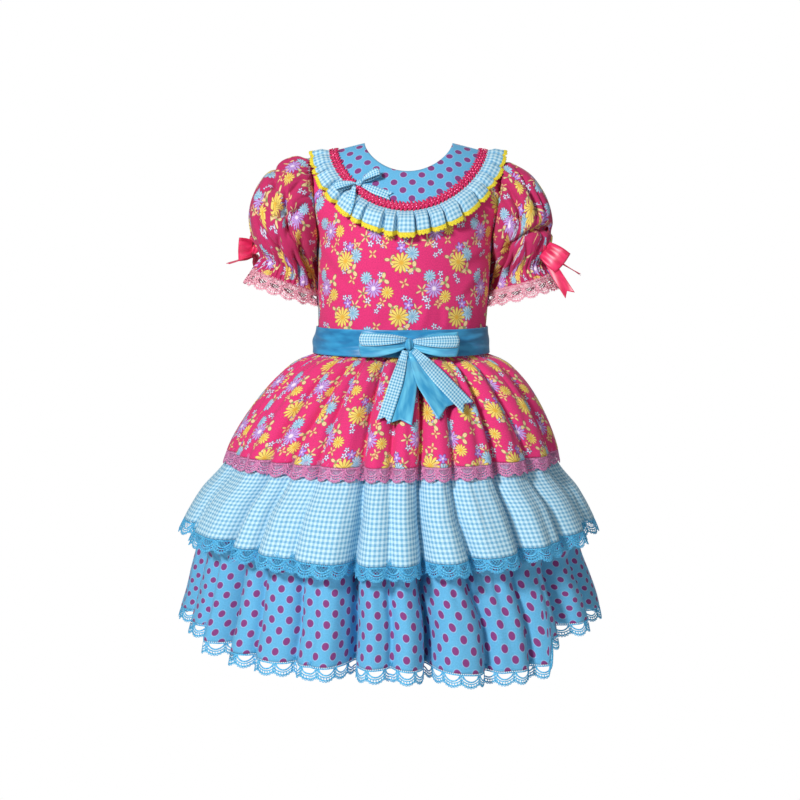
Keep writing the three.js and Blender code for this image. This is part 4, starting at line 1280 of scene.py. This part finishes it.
for name, side, seed in (("left", LEFT, SEED + 5), ("right", RIGHT, SEED + 6)):
    angle, points = sleeve_grid(side, seed)
    around = run_lengths(points, 1, closed=True)
    girth = around[:, -1].max()
    u = mix(around, around / around[:, -1:] * girth, 0.35)
    u = u - u[:, -1:] / 2
    down = run_lengths(points, 0)
    v = -np.concatenate([down, down[:, :1]], axis=1)
    sleeve_centre = points.mean(axis=(0, 1))
    add_cloth(
        f"sleeve_{name}",
        points,
        np.stack([u, v], -1),
        sleeve_cotton_painted_shade,
        [f"sleeve_{name}"],
        "gathered",
        closed=True,
        centre=sleeve_centre,
    )
    hem = points[-1]
    fall = unit(hem - points[-2])
    hem_ring, lace_ring = (sleeve_ring(r, side, angle, 0 * angle) for r in sleeve_rings(side)[-2:])
    flare = unit(unit(lace_ring - hem_ring) + fall)

    def cuff_surface(along, down, hem=hem, flare=flare):
        turn = (along / CUFF_CELLS * SLEEVE_COLUMNS) % SLEEVE_COLUMNS
        i = np.floor(turn).astype(int)
        t = (turn - i)[..., None]
        k = (i + 1) % SLEEVE_COLUMNS
        rim = mix(hem[i % SLEEVE_COLUMNS], hem[k], t)
        way = mix(flare[i % SLEEVE_COLUMNS], flare[k], t)
        return rim + way * (down[..., None] - 0.5)

    lines = lace_lines() + net_lines(-1.5, 6.2, 9, 0.75)
    length = float(run_lengths(points[-1:], 1, closed=True)[0, -1])
    nodes = [f"cuff_lace_{name}_front", f"cuff_lace_{name}_back"]
    add_lace(
        f"cuff_lace_{name}", cuff_surface, CUFF_CELLS, length, lines, rose_lace, nodes
    )


# Sash: a satin ribbon 33 mm wide over the waist seam, with the small creases of a
# ribbon drawn round a curve
theta = np.linspace(-math.pi, math.pi, 720, endpoint=False)
SASH = table(
    "z width front back",
    [(-219, 105.9, 82.9, 74.9), (-238, 106.3, 83.0, 75.8), (-252, 109.3, 86.3, 79.3)],
)
z = np.linspace(-219.5, -252, 18)
# Its creases: from and to in degrees and z, width and height
SASH_CREASES = [
    (-88, -226, -52, -236, 3.0, 1.3),
    (-84, -243, -44, -238, 2.6, 1.0),
    (-60, -248, -30, -243, 2.4, 0.8),
    (-34, -224, -4, -232, 2.6, 1.0),
    (-30, -248, -2, -240, 2.6, 1.2),
    (10, -232, 36, -226, 2.6, 1.0),
    (12, -241, 44, -247, 2.6, 1.0),
    (44, -236, 84, -226, 3.0, 1.2),
    (50, -240, 88, -246, 2.6, 1.1),
    (98, -228, 150, -234, 2.8, 0.9),
    (112, -244, 168, -239, 2.8, 0.8),
    (-150, -232, -100, -226, 2.8, 0.9),
    (-172, -240, -106, -245, 2.8, 0.8),
]
wrinkle = np.zeros((len(z), len(theta)))
for a0, z0, a1, z1, width, height in SASH_CREASES:
    along = (np.degrees(theta)[None, :] - a0) / (a1 - a0)
    away = (z[:, None] - mix(z0, z1, along)) / width
    fade = smooth_step(-0.1, 0.3, along) * smooth_step(1.1, 0.7, along)
    wrinkle += height * fade * (bell(away) - 0.7 * bell(away - 1.6))
for middle, reach in ((-96, 5.0), (95, 2.6)):
    loose = bell((np.degrees(theta) - middle) / 13)[None, :]
    wrinkle += reach * loose * bell((z - WAIST_Z) / 9)[:, None]
radius = crest_radius(SASH, theta[None, :], z[:, None]) + 0.7 + wrinkle
points = np.stack(
    [radius * np.sin(theta), -radius * np.cos(theta), np.broadcast_to(z[:, None], radius.shape)], -1
)
run = run_lengths(points, 1, closed=True)[8]
cut = np.stack(np.meshgrid(run, z), -1)[..., ::-1]
add_cloth(
    "sash", points, cut, sash_satin_painted_shade, ["sash"], "stretched", closed=True, wall=RIBBON
)


# Bows
LOOP_LINE = np.array(
    [
        # out rise wide
        (0, 0.2, 0.3),
        (0.25, 0.75, 0.66),
        (0.62, 0.95, 0.96),
        (0.94, 0.6, 1),
        (1, 0.1, 1),
        (0.93, -0.26, 1),
        (0.4, -0.3, 0.8),
        (0, -0.25, 0.3),
    ]
)


def add_loop(name, bow, out, grow, material, slot):
    """A ribbon loop that runs out from the knot and back."""
    line = through(LOOP_LINE, np.linspace(0, len(LOOP_LINE), 72, endpoint=False), closed=True)
    spread = np.linspace(-1, 1, 15)[:, None]
    broad = mix(line[None, :, 2], 1, bow["flat"])
    away = line[None, :, 0]
    rise = line[None, :, 1] * bow["puff"]
    # Creases fan out from the knot and die towards the end of the loop
    pinch = np.exp(-np.maximum(away, 0) * 2.2) * (1 - 0.6 * bow["flat"])
    rise = rise + 1.7 * pinch * np.cos(spread * 8 + 1) * np.minimum(1, np.maximum(away, 0) * 8)
    rise = rise + grow * np.sign(line[None, :, 1]) * np.minimum(1, np.abs(line[None, :, 1]) * 4)
    bend = 1 - 0.05 * spread**2
    points = (
        bow["centre"]
        + (bow["start"] + away * bow["length"] * bend)[..., None] * out
        + rise[..., None] * bow["face"]
        + (bow["shift"] + spread * bow["half"] * broad)[..., None] * bow["wide"]
    )
    run = run_lengths(points, 1, closed=True)[7]
    across = spread[:, 0] * bow["half"]
    cut = np.stack(np.meshgrid(run, across), -1)[..., ::-1]
    centre = bow["centre"] + out * (bow["start"] + bow["length"] / 2)
    return add_cloth(
        name, points, cut, material, [name], "folded", closed=True, wall=RIBBON, centre=centre
    )


def add_knot(name, bow, out, size, material, slot):
    """The ribbon drawn tight across the middle of a bow."""
    turns = np.linspace(0, 2 * math.pi, 32, endpoint=False)[None, :]
    level = np.linspace(-0.97, 0.97, 21)[:, None]
    reach = (1 - np.abs(level) ** 2.6) ** 0.5
    creased = 1 + 0.13 * np.cos(turns * 5 + 1.2 * level)
    points = (
        bow["centre"]
        + (size[0] * reach * creased * np.sin(turns))[..., None] * out
        + (size[1] * reach * creased * np.cos(turns))[..., None] * bow["face"]
        + (size[2] * level * np.ones_like(turns))[..., None] * bow["wide"]
    )
    rim = points.shape[1]
    quads = grid_quads(points.shape[0], rim, True)
    flat = points.reshape(-1, 3)
    caps = [flat[:rim].mean(axis=0), flat[-rim:].mean(axis=0)]
    run = run_lengths(points, 1, closed=True)[10]
    cut = np.stack(np.meshgrid(run, level[:, 0] * size[2]), -1)
    corners = corner_cut(cut)
    last = len(flat) - rim
    fans = []
    for j in range(0, rim, 2):
        fans.append((len(flat), j, j + 1, (j + 2) % rim))
        fans.append((len(flat) + 1, last + (j + 2) % rim, last + j + 1, last + j))
    quads = np.concatenate([quads, np.array(fans)])
    corners = np.concatenate([corners, np.zeros((len(fans) * 4, 2)) + corners[:1]])
    return add_piece(name, np.concatenate([flat, caps]), quads, corners, material, [name])


NOTCH = 0.35


def add_tail(name, tail, place, material, slot):
    """A ribbon's end with a swallowtail cut, laid by place from its flat drawing."""
    start, end = np.array(tail["start"], float), np.array(tail["end"], float)
    run = unit(end - start)
    across = np.array([-run[1], run[0]])
    along = np.linspace(0, 1, 34)[:, None]
    edge = np.linspace(-1, 1, 17)[None, :]
    notch = NOTCH / tail["steps"] * (1 - np.abs(edge))
    share = along * (1 - notch)
    half = mix(tail["halves"][0], tail["halves"][1], smooth_step(-0.1, 0.5, share))
    flat = start + (end - start) * share[..., None] + across * (edge * half)[..., None]
    # The tail is cupped near the knot and ripples a little lower down
    cup = 1.6 * (1 - share) ** 2 * (1 - edge**2) + 1.0 * share * np.sin(4.4 * share + 1.7 * edge)
    points = place(flat, tail["lift"] + cup + 0.4, share)
    length = np.linalg.norm(end - start)
    # Part of the ribbon's width is lost in the folds at the knot
    cut = np.stack([edge * mix(half, tail["halves"][1], 0.6), share * length], -1)
    centre = points.mean(axis=(0, 1)) - tail["face"] * 200
    return add_cloth(name, points, cut, material, [name], "hung", wall=RIBBON, centre=centre)


# The ribbons of the bows
SATIN = (blue_satin, "blue_satin")
CHECKED = (gingham_ribbon, "gingham_cotton")
PINK = (pink_satin, "pink_satin")

KNOT = np.array((9, -89.2, -236.0))
UP = np.array((0, 0, 1.0))
TO_FRONT = np.array((0, -1.0, 0))
WAIST_BOW = {
    "centre": KNOT,
    "wide": UP,
    "face": TO_FRONT,
    "start": 5.0,
    "length": 55,
    "puff": 8.5,
    "flat": 0,
}
for name, side, curl, shift in (("left", LEFT, 0.01, 6), ("right", RIGHT, 0.1, 3.5)):
    out = unit(np.array((side, curl, 0.0)))
    satin_loop = {**WAIST_BOW, "half": 14.5, "shift": -0.5}
    gingham_loop = {**WAIST_BOW, "half": 7.3, "shift": shift}
    add_loop(f"waist_bow_satin_loop_{name}", satin_loop, out, 0.4, *SATIN)
    add_loop(f"waist_bow_gingham_loop_{name}", gingham_loop, out, 2.6, *CHECKED)
add_knot("waist_bow_knot", WAIST_BOW, np.array((1.0, 0, 0)), (4.8, 7, 7.5), *SATIN)

# Its tails: start, end, half widths at the knot and below, and lift off the skirt
WAIST_TAIL = {"steps": 5, "face": TO_FRONT}
WAIST_TAILS = [
    ("gingham_tail_left", (4.5, -243), (-15.5, -320), (3.5, 8), 6.4),
    ("satin_tail_left", (7.5, -243.5), (3.5, -323), (3.5, 14.5), 2.8),
    ("satin_tail_right", (10.5, -243.5), (60, -309), (3.5, 15), 4.6),
    ("gingham_tail_right", (14, -243), (82, -306), (3.5, 8), 8.2),
]


def over_skirt(flat, lift, share):
    z = np.minimum(flat[..., 1], ONE_TOP)
    width = read(TIER_ONE, z, "width")
    front = read(TIER_ONE, z, "front")
    y = -front * np.sqrt(1 - (flat[..., 0] / width) ** 2)
    y = np.minimum(y - 3 * (1 - share) - lift, KNOT[1] + 4 - lift)
    return np.stack([flat[..., 0], y, flat[..., 1]], -1)


for name, start, end, halves, lift in WAIST_TAILS:
    tail = {**WAIST_TAIL, "start": start, "end": end, "halves": halves, "lift": lift}
    ribbon = SATIN if name.startswith("satin") else CHECKED
    add_tail(f"waist_bow_{name}", tail, over_skirt, *ribbon)

# Small gingham bow on the braid
YOKE_X, YOKE_Z = np.array(-57.0), np.array(-46.0)
yoke_face = body_normal(YOKE_X, YOKE_Z, FRONT)
tilt = math.radians(20)
yoke_out = np.array((math.cos(tilt), 0, math.sin(tilt)))
yoke_out = unit(yoke_out - yoke_face * yoke_out.dot(yoke_face))
YOKE_BOW = {
    "centre": on_body(YOKE_X, YOKE_Z, FRONT, np.array(2.4)),
    "face": yoke_face,
    "wide": np.cross(yoke_face, yoke_out),
    "start": 4.3,
    "half": 5.5,
    "shift": 0,
    "puff": 5,
    "flat": 0,
}
add_knot("yoke_bow_knot", YOKE_BOW, yoke_out, (3.4, 3, 4), *CHECKED)
for name, side, rise, length in (("left", LEFT, 0.42, 26), ("right", RIGHT, 0.15, 24)):
    out = unit(yoke_out * side + yoke_face * rise)
    loop = {**YOKE_BOW, "length": length}
    add_loop(f"yoke_bow_loop_{name}", loop, out, 0, *CHECKED)


def over_yoke(flat, lift, share):
    return on_body(flat[..., 0], flat[..., 1], FRONT, lift)


YOKE_TAIL = {"halves": (2, 5), "steps": 3, "face": yoke_face}
for name, start, end, lift in (
    ("left", (-60, -53), (-68, -84), 9),
    ("right", (-53, -49), (-18, -62), 2.3),
):
    tail = {**YOKE_TAIL, "start": start, "end": end, "lift": lift}
    add_tail(f"yoke_bow_tail_{name}", tail, over_yoke, *CHECKED)


# Pink satin bow on the elastic of each sleeve
def elastic_point(side, degrees, lift):
    elastic_ring = sleeve_rings(side)[ELASTIC]
    angle = np.array(math.radians(degrees))
    rise = elastic_ring[5] * (0.55 + 0.45 * math.cos(angle)) + lift
    return sleeve_ring(elastic_ring, side, angle, rise)


SLEEVE_LOOP = {"start": 4.4, "half": 14.5, "shift": 0, "puff": 5, "flat": 0.65}
SLEEVE_TAIL = {"start": (0, 0), "halves": (3, 6.5), "lift": 0, "steps": 3}
# Each bow: its place on the elastic in degrees and how far above it, the ways its loops
# point with their widths' way and length, and the same of its tails with their drop
SLEEVE_BOWS = {
    "left": (
        LEFT,
        -8,
        5,
        [("front", (-0.82, -0.36, 0.0), (0, 0, 1), 17), ("back", (-0.2, 0.9, 0.1), (0, 0, 1), 25)],
        [
            ("front", (-0.86, -0.3, -0.26), (0.2, -1, 0), 30, 8),
            ("back", (0.1, 0.8, -0.6), (1, 0.3, 0), 34, 4),
        ],
    ),
    "right": (
        RIGHT,
        50,
        20,
        [
            ("front", (0.72, -0.3, -0.55), (0.58, 0, 0.8), 30),
            ("back", (0.3, 0.8, 0.5), (0, 0, 1), 22),
        ],
        [
            ("front", (0.54, -0.3, -0.82), (0.75, 0, 0.6), 60, 5),
            ("back", (0.84, -0.2, -0.5), (0.1, -1, 0.1), 50, 5),
        ],
    ),
}
for name, (side, degrees, above, loops, tails) in SLEEVE_BOWS.items():
    centre = elastic_point(side, degrees, 4.6) + (0, 0, above)
    face = unit(elastic_point(side, degrees, 5.4) - elastic_point(side, degrees, 0))
    along = elastic_point(side, degrees + 4, 0) - elastic_point(side, degrees - 4, 0)
    along = unit(along - face * along.dot(face))
    bow = {"centre": centre, "wide": np.cross(face, along), "face": face}
    add_knot(f"sleeve_bow_{name}_knot", bow, along, (4.6, 5.2, 6), *PINK)
    for end, way, wide, length in loops:
        out = unit(np.array(way))
        wide = unit(np.array(wide) - out * out.dot(wide))
        puff = np.cross(out, wide)
        puff = puff * np.sign(puff.dot(face) + 1e-6)
        loop = {**SLEEVE_LOOP, "centre": centre, "wide": wide, "face": puff, "length": length}
        add_loop(f"sleeve_bow_{name}_loop_{end}", loop, out, 0, *PINK)
    for end, way, wide, length, drop in tails:
        fall = unit(np.array(way))
        across = unit(np.array(wide) - fall * fall.dot(wide))
        off = np.cross(across, fall)
        off = off * np.sign(off.dot(face) + 1e-6)
        tail = {**SLEEVE_TAIL, "end": (0, -length), "face": off}
        root = centre + fall * 6 - (0, 0, drop)

        def hang(flat, lift, share, root=root, across=across, fall=fall, off=off):
            rise = off * np.asarray(lift)[..., None]
            return root + across * flat[..., :1] - fall * flat[..., 1:] + rise

        add_tail(f"sleeve_bow_{name}_tail_{end}", tail, hang, *PINK)


# Studio: a pale floor far below, a white surround and large soft lights
FLOOR = 1.1
FLOOR_Z = -1.6
floor_mesh = bpy.data.meshes.new("studio_floor")
floor_corners = [(x * FLOOR, y * FLOOR, FLOOR_Z) for x, y in ((-1, -1), (1, -1), (1, 1), (-1, 1))]
floor_mesh.from_pydata(floor_corners, [], [(0, 1, 2, 3)])
floor_paint, tree, shader = start_material(
    "matt white studio floor", Roughness=0.9, Emission_Strength=0.5
)
shader.inputs["Base Color"].default_value = paint("#FFFFFF")
shader.inputs["Emission Color"].default_value = paint("#FFFFFF")
floor_mesh.materials.append(floor_paint)
floor = bpy.data.objects.new("studio_floor", floor_mesh)
bpy.context.scene.collection.objects.link(floor)

world = bpy.data.worlds.new("white surround")
world.use_nodes = True
SURROUND_LIGHT = 0.2
tree = world.node_tree
seen = node(tree, "ShaderNodeLightPath")[0]
level = node(tree, RANGE, {0: seen, 3: SURROUND_LIGHT, 4: 1.0})[0]
tree.links.new(level, tree.nodes["Background"].inputs["Strength"])
tree.nodes["Background"].inputs["Color"].default_value = (1, 1, 1, 1)
bpy.context.scene.world = world


def add_light(name, place, target, size, watts):
    lamp = bpy.data.lights.new(name, "AREA")
    lamp.shape = "DISK"
    lamp.size = size
    lamp.energy = watts
    holder = bpy.data.objects.new(name, lamp)
    holder.location = place
    holder.rotation_euler = (Vector(target) - Vector(place)).to_track_quat("-Z", "Y").to_euler()
    bpy.context.scene.collection.objects.link(holder)


add_light("key light", (-1.25, -2.2, 0.85), (0, 0, -0.3), 0.5, 72)
add_light("fill light", (1.5, -2.2, -0.1), (0, 0, -0.35), 1.2, 11)
add_light("rear light", (0.5, 2.4, 0.9), (0, 0, -0.3), 1.0, 36)

# Camera at the photograph's angle: 0.8 pixels a millimetre on the dress
TARGET = Vector((-0.0104, 0, -0.312))
ELEVATION = math.radians(6)
DISTANCE = 2.0
camera_data = bpy.data.cameras.new("camera")
camera_data.lens = 72
camera_data.sensor_width = 36
camera = bpy.data.objects.new("camera", camera_data)
camera.location = TARGET + DISTANCE * Vector((0, -math.cos(ELEVATION), math.sin(ELEVATION)))
camera.rotation_euler = (math.pi / 2 - ELEVATION, 0, 0)
bpy.context.scene.collection.objects.link(camera)
bpy.context.scene.camera = camera
bpy.context.scene.view_settings.view_transform = "Standard"
